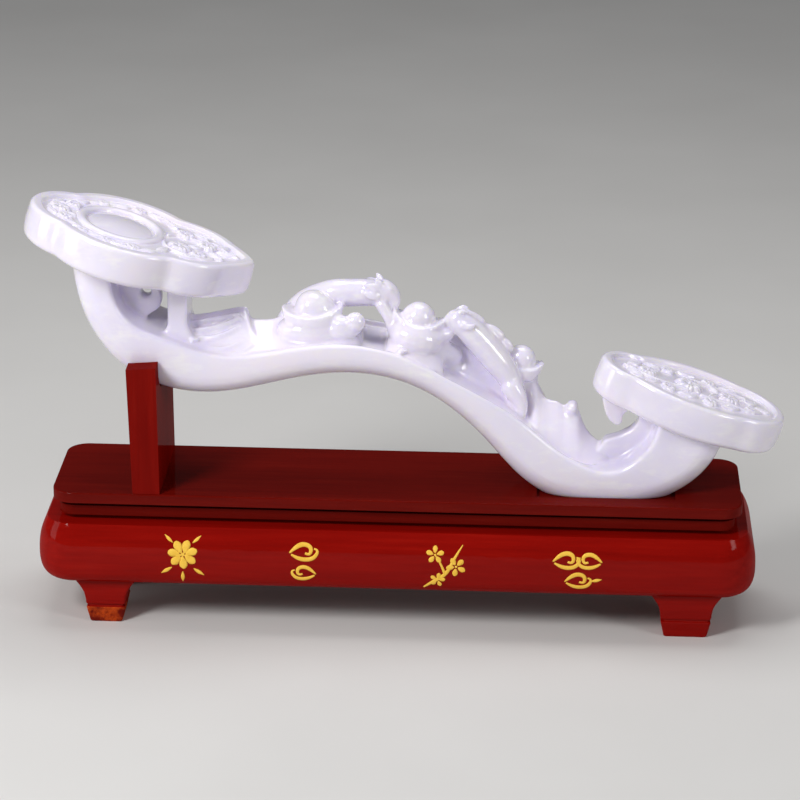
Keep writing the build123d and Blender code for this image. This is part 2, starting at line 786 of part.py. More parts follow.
def build_stand():
    save("top_board", top_board())
    frame_rails("waist", waist_section())
    frame_rails("apron", apron_section())
    for end, side_x, width in (("left", -1, foot_left_width), ("right", 1, foot_right_width)):
        for face, side_y in (("front", -1), ("back", 1)):
            save("foot_" + face + "_" + end, bracket_foot(width, side_x, side_y))
    names = ("left_front", "left_back", "right_front", "right_back")
    for name, (x, y) in zip(names, block_places()):
        save("corner_block_" + name, corner_block(x, y))
    save("cradle_post", cradle_post())
    save("post_screws", Compound(children=[
        place * screw(post_screw_length) for place in post_screw_places()]))
    save("board_screws", Compound(children=[
        place * screw(board_screw_length) for place in board_screw_places()]))


def save(node, shape):
    """Write one node, and say what it holds."""
    solids = shape.solids() if hasattr(shape, "solids") else shape
    print(node, len(solids), round(sum(solid.volume for solid in solids), 1))
    export_step(Compound(children=list(solids)) if len(solids) > 1 else solids[0],
                os.path.join("parts", node + ".step"))


def build_scepter(shaft):
    save("scepter_shaft", shaft)
    save("head_plaque", head_plaque())
    save("tail_plaque", tail_plaque())
    save("head_hook", head_hook(shaft))
    save("tail_hook", tail_hook(shaft))
    strut = head_strut(shaft)
    save("head_strut", strut)
    first, second, third = ingots(shaft)
    save("ingot_1", first)
    save("ingot_2", second)
    save("ingot_3", third)
    save("bead", bead(shaft, first))
    save("beast_1", beast_1(shaft, [first, second]))
    climber = beast_2(shaft, [second, third])
    save("beast_2", climber)
    save("pointed_leaf", pointed_leaf(shaft, [strut]))
    save("ribbon_leaf", ribbon_leaf(shaft, [third, climber]))


os.makedirs("parts", exist_ok=True)
handle = scepter_shaft()
build_scepter(handle)
build_stand()
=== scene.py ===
import math

import bpy
import numpy as np
from mathutils import Matrix, Vector


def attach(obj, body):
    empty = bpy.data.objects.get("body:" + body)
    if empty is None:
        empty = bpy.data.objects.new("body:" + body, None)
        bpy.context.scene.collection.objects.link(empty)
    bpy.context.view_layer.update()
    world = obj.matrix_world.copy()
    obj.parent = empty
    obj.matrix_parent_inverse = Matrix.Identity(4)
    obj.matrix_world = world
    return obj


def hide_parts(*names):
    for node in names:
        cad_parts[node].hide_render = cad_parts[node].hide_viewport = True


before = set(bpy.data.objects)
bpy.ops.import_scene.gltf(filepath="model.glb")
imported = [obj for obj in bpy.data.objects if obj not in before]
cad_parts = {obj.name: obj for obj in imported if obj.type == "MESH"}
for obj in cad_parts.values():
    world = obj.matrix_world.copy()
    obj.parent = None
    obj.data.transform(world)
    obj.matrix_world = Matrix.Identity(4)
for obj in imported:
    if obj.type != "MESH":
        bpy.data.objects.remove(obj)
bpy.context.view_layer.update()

# Sizes are in millimetres and places are in the row frame, as in the CAD. The
# meshes are scaled to metres when they are made.
MM = 0.001

# Camera, fitted to the photo
PHOTO_SIDE = 800             # pixels
CAMERA_FOCAL = 3200          # pixels
SENSOR_WIDTH = 36.0
CAMERA_ELEVATION = 20.5      # degrees
CAMERA_AZIMUTH = 2.58
CAMERA_ROLL = -0.48
CAMERA_DISTANCE = 1760
CAMERA_TARGET = (-2.9, 0.0, 121.2)

# Scepter: sizes in millimetres, tilts in degrees
SCEPTER_LENGTH = 417.2
FOOT_FLOOR = 75.1            # where the scepter's own foot stands, over the ground
HANDLE_HEIGHT = 141.4        # middle of the head's face, over the scepter's foot
TAIL_HEIGHT = 58.8           # middle of the tail's face, over the scepter's foot
HEAD_LENGTH, HEAD_WIDTH, HEAD_THICKNESS, HEAD_TILT = 126.7, 90.0, 20.0, 15.7
TAIL_LENGTH, TAIL_WIDTH, TAIL_THICKNESS, TAIL_TILT = 106.4, 66.0, 19.8, 18.3
HEAD_RIM, TAIL_RIM = 6.0, 5.0
PLAQUE_TOP_ROUND, PLAQUE_LOW_ROUND = 2.4, 4.2
PLAQUE_SWELL = 0.5           # how far the plaque's side stands out at its fullest
FIELD_DEPTH = 2.0            # how far the carved field is sunk below the rim
FIELD_STEP_OUT, FIELD_STEP_IN = 0.8, 1.2
MEDALLION_SHIFT = 12.7       # from the head's middle towards its round end
MEDALLION_CLEAR = (24.2, 25.4)
MEDALLION_RING = (21.9, 2.7, 1.9)      # radius, half width, height
MEDALLION_GROOVE = (18.4, 0.8, 0.5)    # radius, half width, depth
MEDALLION_DOME = (18.6, 2.2)           # radius, height
RELIEF_SHARE = 1.5           # lifts all the carving in the fields
STEM_RADIUS = 1.1
STONE_VOXEL = 0.8            # grain of the carved stone's mesh

# Outlines of the plaques: arcs in shares of half the length and half the width
HEAD_LOBES = (
    ((-0.68, -0.62), (-1.0, 0.0), (-0.68, 0.62)),
    ((-0.68, 0.62), (-0.17, 1.0), (0.30, 0.76)),
    ((0.30, 0.76), (0.58, 0.68), (0.80, 0.39)),
    ((0.80, 0.39), (0.915, 0.205), (1.0, 0.0)),
    ((1.0, 0.0), (0.915, -0.205), (0.80, -0.39)),
    ((0.80, -0.39), (0.58, -0.68), (0.30, -0.76)),
    ((0.30, -0.76), (-0.17, -1.0), (-0.68, -0.62)),
)
TAIL_LOBES = (
    ((-0.64, -0.60), (-1.0, 0.0), (-0.64, 0.60)),
    ((-0.64, 0.60), (0.05, 1.0), (0.56, 0.80)),
    ((0.56, 0.80), (1.0, 0.0), (0.56, -0.80)),
    ((0.56, -0.80), (0.05, -1.0), (-0.64, -0.60)),
)

# Stand
STAND_SHIFT = -3.2           # the stand's middle along X
BOARD_DEPTH = 75.6
FOOT_HEIGHT = 24.8
APRON_HEIGHT = 34.9
APRON_OUTLINE = (            # how far out from the board's edge, share of the apron's height
    (3.6, 1.0), (7.57, 0.72), (8.6, 0.45), (6.19, 0.10), (-0.8, 0.0),
)
PRONG_LEVEL, PRONG_DROP = 140.0, 2.4   # the post above this level comes down by this much
POST_SHIFT = -1.1
POST_SIDE, POST_FACE = 32.0, 36.9      # the post's sides beyond the first go out to the second
FOOT_LEVELS = (              # height, out from the plain foot's side
    (0.0, -2.6), (0.5, -2.1), (8.6, -0.3), (9.2, -0.5), (9.5, -1.5), (10.8, -1.5), (11.1, -0.2),
    (12.0, 0.0), (14.5, 0.2), (17.5, 0.9), (20.0, 2.1), (22.2, 3.6), (24.0, 5.0), (24.8, 5.5),
)
FOOT_WIDTHS = {"left": 22.0, "right": 28.0}
FOOT_SPREAD, FOOT_DEPTH, FOOT_INSET = 160.0, 26.0, 0.8
FOOT_TAPER = 0.6             # share of the pad's taper that its depth gets
FOOT_PAD = 9.3               # the pad ends at this height

# Light: name, place and target in metres, size in metres, power in watts
LAMPS = (
    ("key_left", (-0.75, -0.85, 0.95), (0, 0, 0.12), (0.34, 0.46), 11.8),
    ("side_left", (-1.35, -0.35, 0.40), (-0.1, 0, 0.08), (0.5, 0.7), 3.4),
    ("fill_right", (1.2, -0.8, 0.7), (0, 0, 0.1), (0.4, 0.5), 5.2),
    ("top_soft", (0.05, 0.25, 1.35), (0, 0, 0.12), (1.0, 0.6), 6.6),
)
WORLD_COLOUR, WORLD_STRENGTH = (0.93, 0.94, 0.96, 1), 0.18
FLOOR_RADIUS = 9000


# Curves and meshes

def smooth_curve(points, count):
    """Evenly spaced points of a natural cubic spline through a list of points."""
    points = np.array(points, float)
    knots = np.concatenate([[0], np.cumsum(np.linalg.norm(np.diff(points, axis=0), axis=1))])
    gaps = np.diff(knots)
    size = len(points)
    system = np.eye(size)
    right = np.zeros_like(points)
    for i in range(1, size - 1):
        system[i, i - 1:i + 2] = gaps[i - 1], 2 * (gaps[i - 1] + gaps[i]), gaps[i]
        right[i] = 6 * ((points[i + 1] - points[i]) / gaps[i]
                        - (points[i] - points[i - 1]) / gaps[i - 1])
    bend = np.linalg.solve(system, right)

    def at(values):
        i = np.clip(np.searchsorted(knots, values) - 1, 0, size - 2)
        h = gaps[i][:, None]
        a = (knots[i + 1] - values)[:, None]
        b = (values - knots[i])[:, None]
        return ((a ** 3 * bend[i] + b ** 3 * bend[i + 1]) / (6 * h)
                + (points[i] / h - h * bend[i] / 6) * a
                + (points[i + 1] / h - h * bend[i + 1] / 6) * b)

    dense = at(np.linspace(0, knots[-1], 40 * size))
    length = np.concatenate([[0], np.cumsum(np.linalg.norm(np.diff(dense, axis=0), axis=1))])
    even = np.linspace(0, length[-1], count)
    return np.stack([np.interp(even, length, column) for column in dense.T], axis=1)


def arc(start, middle, end, count):
    """Points of the arc through three points, without the last one."""
    a, b, c = (complex(*p) for p in (start, middle, end))
    w = (c - a) / (b - a)
    if abs(w.imag) < 1e-9:
        return [(a + (c - a) * i / count) for i in range(count)]
    centre = (b - a) * (w - abs(w) ** 2) / (2j * w.imag) + a
    first = math.atan2((a - centre).imag, (a - centre).real)
    turn = math.atan2(((c - centre) / (a - centre)).imag, ((c - centre) / (a - centre)).real)
    side = math.atan2(((b - centre) / (a - centre)).imag, ((b - centre) / (a - centre)).real)
    if side * turn < 0:
        turn -= math.copysign(2 * math.pi, turn)
    radius = abs(a - centre)
    return [centre + radius * complex(math.cos(first + turn * i / count),
                                      math.sin(first + turn * i / count))
            for i in range(count)]


def make_mesh(name, vertices, faces, smooth=True):
    """An object from vertices in millimetres."""
    mesh = bpy.data.meshes.new(name)
    mesh.from_pydata((np.array(vertices) * MM).tolist(), [], [tuple(f) for f in faces])
    mesh.validate()
    mesh.update()
    for polygon in mesh.polygons:
        polygon.use_smooth = smooth
    made = bpy.data.objects.new(name, mesh)
    bpy.context.scene.collection.objects.link(made)
    return made


def grid_faces(rows, columns, closed=True):
    """Quads between rows of points; closed joins the last column to the first."""
    last = columns if closed else columns - 1
    return [(r * columns + c, r * columns + (c + 1) % columns,
             (r + 1) * columns + (c + 1) % columns, (r + 1) * columns + c)
            for r in range(rows - 1) for c in range(last)]


def loft(rings):
    """Vertices and faces of a closed skin over rings of equally many points."""
    rows, columns = len(rings), len(rings[0])
    vertices = [tuple(p) for ring in rings for p in ring]
    faces = grid_faces(rows, columns)
    faces.append(tuple(reversed(range(columns))))
    faces.append(tuple((rows - 1) * columns + c for c in range(columns)))
    return vertices, faces


def finish_with(made, modifier_type, **settings):
    """Adds one modifier with its settings, and applies it."""
    modifier = made.modifiers.new(modifier_type.lower(), modifier_type)
    for key, value in settings.items():
        setattr(modifier, key, value)
    with bpy.context.temp_override(object=made, active_object=made, selected_objects=[made]):
        bpy.ops.object.modifier_apply(modifier=modifier.name)


def stand_for(made, body, slot, material, *nodes):
    """Joins a piece to its body, gives it its material and hides the CAD nodes that it stands for.
    The slot argument is not used.
    """
    made.data.materials.clear()
    made.data.materials.append(material)
    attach(made, body)
    if nodes:
        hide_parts(*nodes)
    return made


def coat(material, *nodes):
    """Gives CAD nodes their material."""
    for node in nodes:
        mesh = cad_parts[node].data
        mesh.materials.clear()
        mesh.materials.append(material)


# Materials

class Nodes:
    """Shader nodes of one material, made and joined in few words."""

    def __init__(self, name):
        self.material = bpy.data.materials.new(name)
        self.material.use_nodes = True
        self.tree = self.material.node_tree
        self.shader = self.tree.nodes["Principled BSDF"]
        self.place = self.add("ShaderNodeTexCoord").outputs["Object"]

    def add(self, kind, **settings):
        node = self.tree.nodes.new(kind)
        for key, value in settings.items():
            setattr(node, key, value)
        return node

    def join(self, output, target):
        self.tree.links.new(output, target)

    def set(self, **values):
        for key, value in values.items():
            self.shader.inputs[key.replace("_", " ")].default_value = value

    def noise(self, scale, detail=4.0, rough=0.5, stretch=(1, 1, 1)):
        """A noise value; scale is in waves per metre."""
        mapping = self.add("ShaderNodeMapping")
        mapping.inputs["Scale"].default_value = stretch
        self.join(self.place, mapping.inputs["Vector"])
        made = self.add("ShaderNodeTexNoise")
        made.inputs["Scale"].default_value = scale
        made.inputs["Detail"].default_value = detail
        made.inputs["Roughness"].default_value = rough
        self.join(mapping.outputs["Vector"], made.inputs["Vector"])
        return made.outputs["Fac"]

    def ramp(self, value, stops):
        """A colour ramp: stops are (place, colour)."""
        made = self.add("ShaderNodeValToRGB")
        while len(made.color_ramp.elements) < len(stops):
            made.color_ramp.elements.new(0.5)
        for element, (at, colour) in zip(made.color_ramp.elements, stops):
            element.position = at
            element.color = (*colour, 1.0)
        self.join(value, made.inputs["Fac"])
        return made.outputs["Color"]

    def range(self, value, low, high, start=0.0, end=1.0):
        """Maps a value from low..high to start..end."""
        made = self.add("ShaderNodeMapRange")
        made.inputs["From Min"].default_value = low
        made.inputs["From Max"].default_value = high
        made.inputs["To Min"].default_value = start
        made.inputs["To Max"].default_value = end
        self.join(value, made.inputs["Value"])
        return made.outputs["Result"]

    def mix(self, factor, first, second):
        """Blends two colours, each an output or a plain colour."""
        made = self.add("ShaderNodeMix", data_type="RGBA")
        sockets = [s for s in made.inputs if s.type == "RGBA"]
        self.join(factor, made.inputs["Factor"])
        for socket, value in zip(sockets, (first, second)):
            if isinstance(value, tuple):
                socket.default_value = (*value, 1.0)
            else:
                self.join(value, socket)
        return [s for s in made.outputs if s.type == "RGBA"][0]

    def bump(self, height, distance, strength=1.0, before=None):
        made = self.add("ShaderNodeBump")
        made.inputs["Strength"].default_value = strength
        made.inputs["Distance"].default_value = distance
        self.join(height, made.inputs["Height"])
        if before:
            self.join(before, made.inputs["Normal"])
        return made.outputs["Normal"]


def stone_material():
    """Polished white stone with faint cool and rosy clouds in it."""
    n = Nodes("white_stone")
    clouds = n.noise(22, 5, 0.55)
    veins = n.noise(60, 6, 0.6, (1, 1, 2.2))
    colour = n.ramp(clouds, ((0.30, (0.80, 0.755, 0.94)), (0.50, (0.85, 0.805, 0.955)),
                             (0.70, (0.88, 0.815, 0.93))))
    colour = n.mix(n.range(veins, 0.52, 0.72), colour, (0.91, 0.88, 0.965))
    n.join(colour, n.shader.inputs["Base Color"])
    n.join(n.range(n.noise(140, 3), 0.3, 0.7, 0.10, 0.19), n.shader.inputs["Roughness"])
    wave = n.bump(n.noise(45, 2), 0.0008, 0.25)
    n.join(n.bump(n.noise(900, 3), 0.0002, 0.10, wave), n.shader.inputs["Normal"])
    n.set(IOR=1.6, Subsurface_Weight=0.55, Subsurface_Radius=(0.9, 1.0, 0.55),
          Subsurface_Scale=0.005, Coat_Weight=0.4, Coat_Roughness=0.04)
    return n.material


def lacquer_material(name, along, depth=1.0, gloss=0.17):
    """Deep red lacquer: fine grain along one axis, dust nibs, brush waves.

    Depth under 1 paints shade as a darker red; gloss is the weight of its clear coat.
    """
    n = Nodes(name)
    grain = n.noise(260, 6, 0.65, along)
    streaks = n.noise(70, 4, 0.6, along)
    # depth scales these reds: a depth under 1 paints shade into the lacquer
    colour = n.ramp(grain, ((0.25, (0.205 * depth, 0.0024, 0.0012)),
                            (0.55, (0.270 * depth, 0.0038, 0.0018)),
                            (0.80, (0.330 * depth, 0.0080, 0.0036))))
    colour = n.mix(n.range(streaks, 0.40, 1.0), colour, (0.195 * depth, 0.0024, 0.0012))
    n.join(colour, n.shader.inputs["Base Color"])
    nibs = n.range(n.noise(1500, 1), 0.72, 0.78)
    n.join(n.range(n.noise(30, 3), 0.3, 0.7, 0.16, 0.30), n.shader.inputs["Roughness"])
    waves = n.bump(n.noise(38, 2, 0.4, (0.5, 1, 1)), 0.0015, 0.18)
    fibres = n.bump(grain, 0.0002, 0.12, waves)
    n.join(n.bump(nibs, 0.0003, 0.35, fibres), n.shader.inputs["Normal"])
    n.set(IOR=1.45, Specular_IOR_Level=0.0, Coat_Weight=gloss, Coat_Roughness=0.06)
    return n.material


def worn_lacquer_material():
    """The same lacquer rubbed through to its orange ground in a patch."""
    n = Nodes("red_lacquer_worn")
    grain = n.noise(260, 6, 0.65, (0.05, 1, 1))
    colour = n.ramp(grain, ((0.25, (0.11, 0.004, 0.002)), (0.80, (0.21, 0.012, 0.005))))
    patch = n.range(n.noise(150, 5, 0.7), 0.44, 0.62)
    colour = n.mix(patch, colour, (0.50, 0.060, 0.008))
    n.join(colour, n.shader.inputs["Base Color"])
    n.join(n.range(n.noise(200, 4), 0.3, 0.7, 0.22, 0.42), n.shader.inputs["Roughness"])
    n.join(n.bump(n.noise(300, 4), 0.0006, 0.5), n.shader.inputs["Normal"])
    n.set(IOR=1.45, Specular_IOR_Level=0.0, Coat_Weight=0.12, Coat_Roughness=0.15)
    return n.material


def gold_material():
    """Flat gold paint, thinner where the brush ran dry."""
    n = Nodes("gold_paint")
    dry = n.noise(240, 5, 0.7, (0.6, 1, 1))
    colour = n.ramp(dry, ((0.30, (0.86, 0.500, 0.050)), (0.55, (0.95, 0.590, 0.080)),
                          (0.80, (0.98, 0.660, 0.110))))
    n.join(colour, n.shader.inputs["Base Color"])
    n.join(n.range(dry, 0.3, 0.7, 0.55, 0.38), n.shader.inputs["Roughness"])
    n.join(n.bump(n.noise(700, 3), 0.0002, 0.3), n.shader.inputs["Normal"])
    n.set(Specular_IOR_Level=0.12)
    return n.material


def bare_wood_material():
    """Plain sawn wood, grain along Z."""
    n = Nodes("bare_wood")
    grain = n.noise(420, 6, 0.6, (1, 1, 0.06))
    n.join(n.ramp(grain, ((0.25, (0.33, 0.20, 0.11)), (0.75, (0.56, 0.39, 0.24)))),
           n.shader.inputs["Base Color"])
    n.join(n.range(grain, 0.3, 0.7, 0.75, 0.55), n.shader.inputs["Roughness"])
    n.join(n.bump(grain, 0.0003, 0.4), n.shader.inputs["Normal"])
    return n.material


def steel_material():
    """Zinc-plated steel with fine scratches."""
    n = Nodes("screw_steel")
    scratches = n.noise(900, 4, 0.6)
    n.join(n.ramp(scratches, ((0.3, (0.44, 0.43, 0.41)), (0.7, (0.60, 0.59, 0.57)))),
           n.shader.inputs["Base Color"])
    n.join(n.range(scratches, 0.3, 0.7, 0.28, 0.42), n.shader.inputs["Roughness"])
    n.set(Metallic=1.0)
    return n.material


# Skins that are joined before the stone is remeshed

def balls(stations):
    """Balls strung close together along a smooth line of (x, y, z, radius)."""
    run = sum(math.dist(a[:3], b[:3]) for a, b in zip(stations, stations[1:]))
    return [pebble(row[:3], (row[3],) * 3) for row in smooth_curve(stations, max(4, int(run)))]


def leaned(lean, turn):
    """A lean about Y and then a turn about Z, in degrees."""
    return (Matrix.Rotation(math.radians(turn), 3, "Z")
            @ Matrix.Rotation(math.radians(lean), 3, "Y"))


def pebble(middle, radii, lean=0.0, turn=0.0):
    """A ball stretched to three radii, leaned about Y and turned about Z (degrees)."""
    rows, columns = 13, 20
    points = []
    for r in range(rows):
        tilt = math.pi * (r + 0.5) / rows
        points += [(math.sin(tilt) * math.cos(2 * math.pi * c / columns),
                    math.sin(tilt) * math.sin(2 * math.pi * c / columns), math.cos(tilt))
                   for c in range(columns)]
    spin = leaned(lean, turn)
    vertices = (np.array(points) * radii) @ np.array(spin).T + np.array(middle)
    faces = grid_faces(rows, columns)
    faces.append(tuple(range(columns)))
    faces.append(tuple((rows - 1) * columns + c for c in reversed(range(columns))))
    return vertices, faces


def ridge(stations, bulge=1.0, sink=6.0):
    """A draped ridge along X: each station is (x, crest y, z, front y, z, back y, z).

    A bulge under 1 makes its two slopes full, and one over 1 makes them hollow.
    """
    rings = []
    shares = (0.0, 0.15, 0.35, 0.6, 0.82)
    for x, yc, zc, yf, zf, yb, zb in smooth_curve(stations, 4 * len(stations)):
        front = [(x, yf + (yc - yf) * u, zf + (zc - zf) * u ** bulge) for u in shares]
        back = [(x, yb + (yc - yb) * u, zb + (zc - zb) * u ** bulge) for u in shares]
        rings.append([(x, yf, zf - sink)] + front + [(x, yc, zc)] + back[::-1]
                     + [(x, yb, zb - sink)])
    return loft(rings)


def joined(name, skins, nodes):
    """One object from copies of CAD nodes and from more skins."""
    vertices, faces = [], []
    count = 0
    for node in nodes:
        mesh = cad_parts[node].data
        points = np.empty(len(mesh.vertices) * 3)
        mesh.vertices.foreach_get("co", points)
        vertices.append(points.reshape(-1, 3) / MM)
        faces += [tuple(count + i for i in p.vertices) for p in mesh.polygons]
        count += len(mesh.vertices)
    for points, polygons in skins:
        vertices.append(np.array(points, float))
        faces += [tuple(count + i for i in p) for p in polygons]
        count += len(points)
    return make_mesh(name, np.concatenate(vertices), faces)


def carve(name, skins, nodes, voxel, smoothing):
    """Melts skins and CAD copies into one surface, polished by rounds of smoothing."""
    made = joined(name, skins, nodes)
    finish_with(made, "REMESH", mode="VOXEL", voxel_size=voxel * MM, use_smooth_shade=True)
    finish_with(made, "SMOOTH", factor=0.5, iterations=smoothing)
    return made


# Figures along the handle: what the photo shows beyond the CAD's main forms

BED = (                     # low swell that the leaf and the first beast grow out of
    (-128, 2, 159.5, -18, 158, 18, 158), (-121, 2, 162.5, -21, 155.5, 20, 156),
    (-110, 2, 164.5, -22.5, 152.8, 21, 153.5), (-99.8, 2, 166, -23, 151.4, 21.5, 152),
    (-90, 2, 166.6, -23, 151.3, 21.5, 152), (-80, 2, 166.2, -22.5, 152.4, 21, 153),
    (-73, 3, 166.2, -22, 153.5, 21, 154), (-64, 4, 169.5, -22, 155, 21, 155.5),
    (-54, 4, 171.5, -22.5, 156.6, 21, 157), (-45, 3, 170.3, -22.5, 157.8, 21, 158),
    (-37, 2, 166.6, -22.5, 158.6, 20, 159), (-30, 0, 162.6, -22, 159.2, 18, 159.6),
    (-24, 0, 160.2, -20, 159.4, 16, 159.8),
)
LEAF_CREST = (
    (-126, 3, 161, -8, 157, 12, 157), (-121, 3, 166.4, -12, 156, 14, 156),
    (-110, 3, 168.8, -15, 155, 16, 154), (-99.8, 3, 171.2, -14, 156, 15, 155),
    (-93, 3, 172.9, -9, 158, 12, 157), (-88.4, 3, 174.0, -5, 161, 9, 159),
    (-86.4, 3, 173.4, -2, 163, 7, 162), (-85.2, 3, 167.5, -1, 162, 6, 162),
)
LEAF_FOLD = (               # runs down from the leaf's tip to the handle's front rim
    (-104, -2, 165.8, -22, 151.8, 8, 160), (-96, -1, 168.6, -22.5, 151.3, 8, 162),
    (-90, 0, 170.8, -22.5, 151.4, 7, 163), (-87.2, 0, 170.6, -22.5, 151.8, 6, 163),
    (-84.6, -5, 166.0, -22.5, 152.2, 6, 162), (-81.2, -11, 160.4, -22.8, 152.6, 4, 160),
    (-77, -17, 155.8, -23, 153.2, -2, 158), (-72, -20, 154.2, -23, 153.4, -8, 156),
)
SPINE = (                   # stone left standing under the second beast
    (18, 6, 157.5, -5, 147.5, 18, 146), (24, 8, 160, -2, 143.5, 18.5, 142.5),
    (30, 9, 159, 1, 140, 19, 139.5), (36, 9, 155, 2, 136.0, 20, 136.0),
    (42, 9, 149, 2, 132.2, 20, 132.4), (48, 9, 142, 1, 128.0, 20, 128.4),
    (55, 8, 133, -1, 123.6, 20, 124), (62, 7, 122.5, -3, 118.6, 20, 119),
)
SLOPE = (                   # under the second ingot
    (-10, -2, 158, -20, 156.5, 18, 156.5), (-3, -2, 161.5, -21, 154.5, 19, 155),
    (7, -2, 160, -21.5, 150.5, 19, 151), (15, -2, 155.5, -21, 146.5, 19, 147),
    (21, -2, 149.5, -17, 143.5, 18, 144),
)
RIBBON = (                  # the folded ribbon with two peaks, down to the tail's stem
    (65, 11, 139, 0, 112, 19, 119), (69, 10, 136, -6, 112, 20, 114),
    (71.8, 9, 131.7, -12, 109.5, 20, 112), (75.6, 7, 124, -15, 105.5, 20, 108),
    (79, 6, 122.3, -15.5, 102.3, 20, 104.5), (83, 5.5, 121.7, -16, 99.5, 20, 101),
    (85.6, 5, 120.7, -16, 97.4, 20, 99.4), (87.4, 5, 119.2, -16, 96.2, 20, 98),
    (89.2, 5, 120.9, -16, 94.8, 20, 96.8), (91.4, 5, 122.0, -16, 93.4, 20, 95.6),
    (93.8, 4.6, 120.4, -16, 92, 20, 94.2), (97.2, 4, 112.6, -15.5, 90.5, 19, 92.5),
    (102, 3, 103.8, -15, 89, 18, 90.6), (109.1, 2, 98, -13, 87.6, 17, 88.8),
    (116.3, 1, 91.6, -10, 86, 14, 87), (121, 0.5, 85, -7, 82, 10, 83),
    (126, 0, 80.6, -4, 78, 6, 78),
)
TAIL_WEB = (                # thin web inside the tail's curl, under the round eye
    (109.6, 102.1), (118.2, 104.9), (124.9, 108.9), (127.8, 112.6), (129, 118), (136, 118),
    (136, 98), (121, 91), (106, 95),
)
TAIL_CURL = (               # the plate that curls in under the tail, and its round eye
    (137, 140), (108.3, 140), (108.1, 124.6), (109.9, 117.4), (112.6, 113.0), (116.0, 110.8),
    (118.8, 111.4), (119.4, 114.0),
)
CURL_EYE, CURL_EYE_RADIUS = (124.0, 114.8), 4.9
HOOK_PLATE = 10.0


def plate(points, width):
    """A flat plate across Y from an outline (x, z)."""
    return loft([[(x, y, z) for x, z in points] for y in (-width / 2, 0, width / 2)])


def curl_outline():
    """The curl's outline, run over the top of its eye."""
    turns = [math.radians(170 - 12 * k) for k in range(16)]
    over = [(CURL_EYE[0] + CURL_EYE_RADIUS * math.cos(a),
             CURL_EYE[1] + CURL_EYE_RADIUS * math.sin(a)) for a in turns]
    return list(TAIL_CURL) + over + [(138, 112)]


def bed_skins():
    """The big smooth forms, which melt into the handle first."""
    skins = [ridge(BED, 0.85), ridge(LEAF_CREST, 1.1), ridge(LEAF_FOLD, 1.0),
             ridge(SLOPE, 0.8), ridge(SPINE, 1.2), ridge(RIBBON, 0.95)]
    skins.append(pebble((-51, -7, 164.5), (19, 13, 8)))
    skins.append(pebble((-34, -11, 166), (11, 8, 5.5)))
    skins.append(pebble((6.0, -4, 160.5), (16, 13, 9.5), 14))
    skins += balls(((11, -3, 162.5, 7), (17, -2.5, 161.0, 5.4), (22.5, -1.5, 160.8, 4.0)))
    skins += balls(((12, -4, 156, 8), (19, -1, 151.5, 6.5), (26, 3, 147, 5.5)))
    skins += [plate(TAIL_WEB, HOOK_PLATE), plate(curl_outline(), HOOK_PLATE)]
    skins += balls(((68, 12, 134, 5), (66, 12, 128, 7), (70, 11, 118, 8)))
    skins += balls(((91.6, 1, 117.6, 3.0), (92.0, 5, 118.6, 3.2), (92.0, 9, 117.6, 3.0)))
    return skins


def leaf_skins():
    """The leaf's ribs, the waves below them and the sprig at its foot."""
    skins = balls(((-119, -2.5, 163.9, 1.2), (-105, -2.8, 167.0, 1.5), (-92, -2.6, 170.0, 1.2)))
    skins += balls(((-116, -6.6, 161.6, 1.1), (-104, -7.2, 163.8, 1.4), (-90, -4.6, 168.4, 1.1)))
    skins += balls(((-113, -10.5, 158.8, 1.0), (-103, -11.6, 159.6, 1.4), (-91, -8.0, 164.4, 1.0)))
    skins += balls(((-106, -17, 155.4, 1.1), (-97, -17.5, 155.0, 1.5), (-89, -13.5, 158.2, 1.1)))
    skins += balls(((-98, -20.5, 152.6, 1.1), (-90, -20.0, 153.4, 1.4), (-82, -15, 157.2, 1.1)))
    return skins + flower_skins(-114.5, -14, 159.2, 3.2, 5, 0, -30)


def beast_1_skins():
    """Haunch, back, head, mane and legs of the beast along the top of the arch."""
    skins = balls(((-67, 8, 163, 5), (-60, 8, 168, 8), (-53, 8, 171.6, 10.4),
                   (-46, 7, 176.4, 9.4), (-39, 5.5, 180.2, 8.2), (-30, 4.5, 181.4, 7.7),
                   (-20, 4, 181.8, 7.5), (-13.5, 3.6, 181.2, 6.8)))
    skins += balls(((-12.4, 3, 184.0, 6.0), (-8.4, 3, 181.6, 5.0), (-6.9, 2.8, 178.6, 4.0),
                    (-6.6, 2.4, 175.6, 3.0)))
    for y, out in ((-0.6, -1), (6.8, 1)):
        skins += balls(((-14.2, y, 187.2, 2.4), (-15.2, y + out * 0.6, 190.2, 1.6),
                        (-16.6, y + out, 191.4, 1.0)))
        skins += balls(((-17.0, y + out, 185.8, 2.4), (-19.6, y + out * 1.6, 188.0, 1.6),
                        (-21.6, y + out * 1.8, 188.2, 1.0)))
        skins += balls(((-16.4, y + out * 2.2, 181.8, 2.2), (-19.4, y + out * 3.2, 182.2, 1.8),
                        (-22.0, y + out * 3.4, 183.8, 1.2)))
        skins.append(pebble((-9.0, y + out * 0.6, 185.6), (2.2, 1.5, 1.5), 25))
        skins.append(pebble((-5.0, y * 0.5 + 1.2, 181.0), (1.5, 1.3, 1.2)))
    for y in (-1.5, 8.5):
        skins += balls(((-13, y, 176.6, 3.8), (-10.0, y - 1, 171, 3.1), (-8.0, y - 2, 166.5, 3.0),
                        (-6.0, y - 3, 161, 3.3)))
        skins += balls(((-7.4, y - 3, 160.6, 2.0), (-4.2, y - 4, 159.8, 2.0)))
    for x, z in ((-50, 182.6), (-44.5, 185.4), (-39, 187.4), (-33.5, 188.2), (-28, 188.4)):
        skins.append(pebble((x, 5.4, z - 0.5), (2.7, 1.2, 1.2), -12))
    return skins


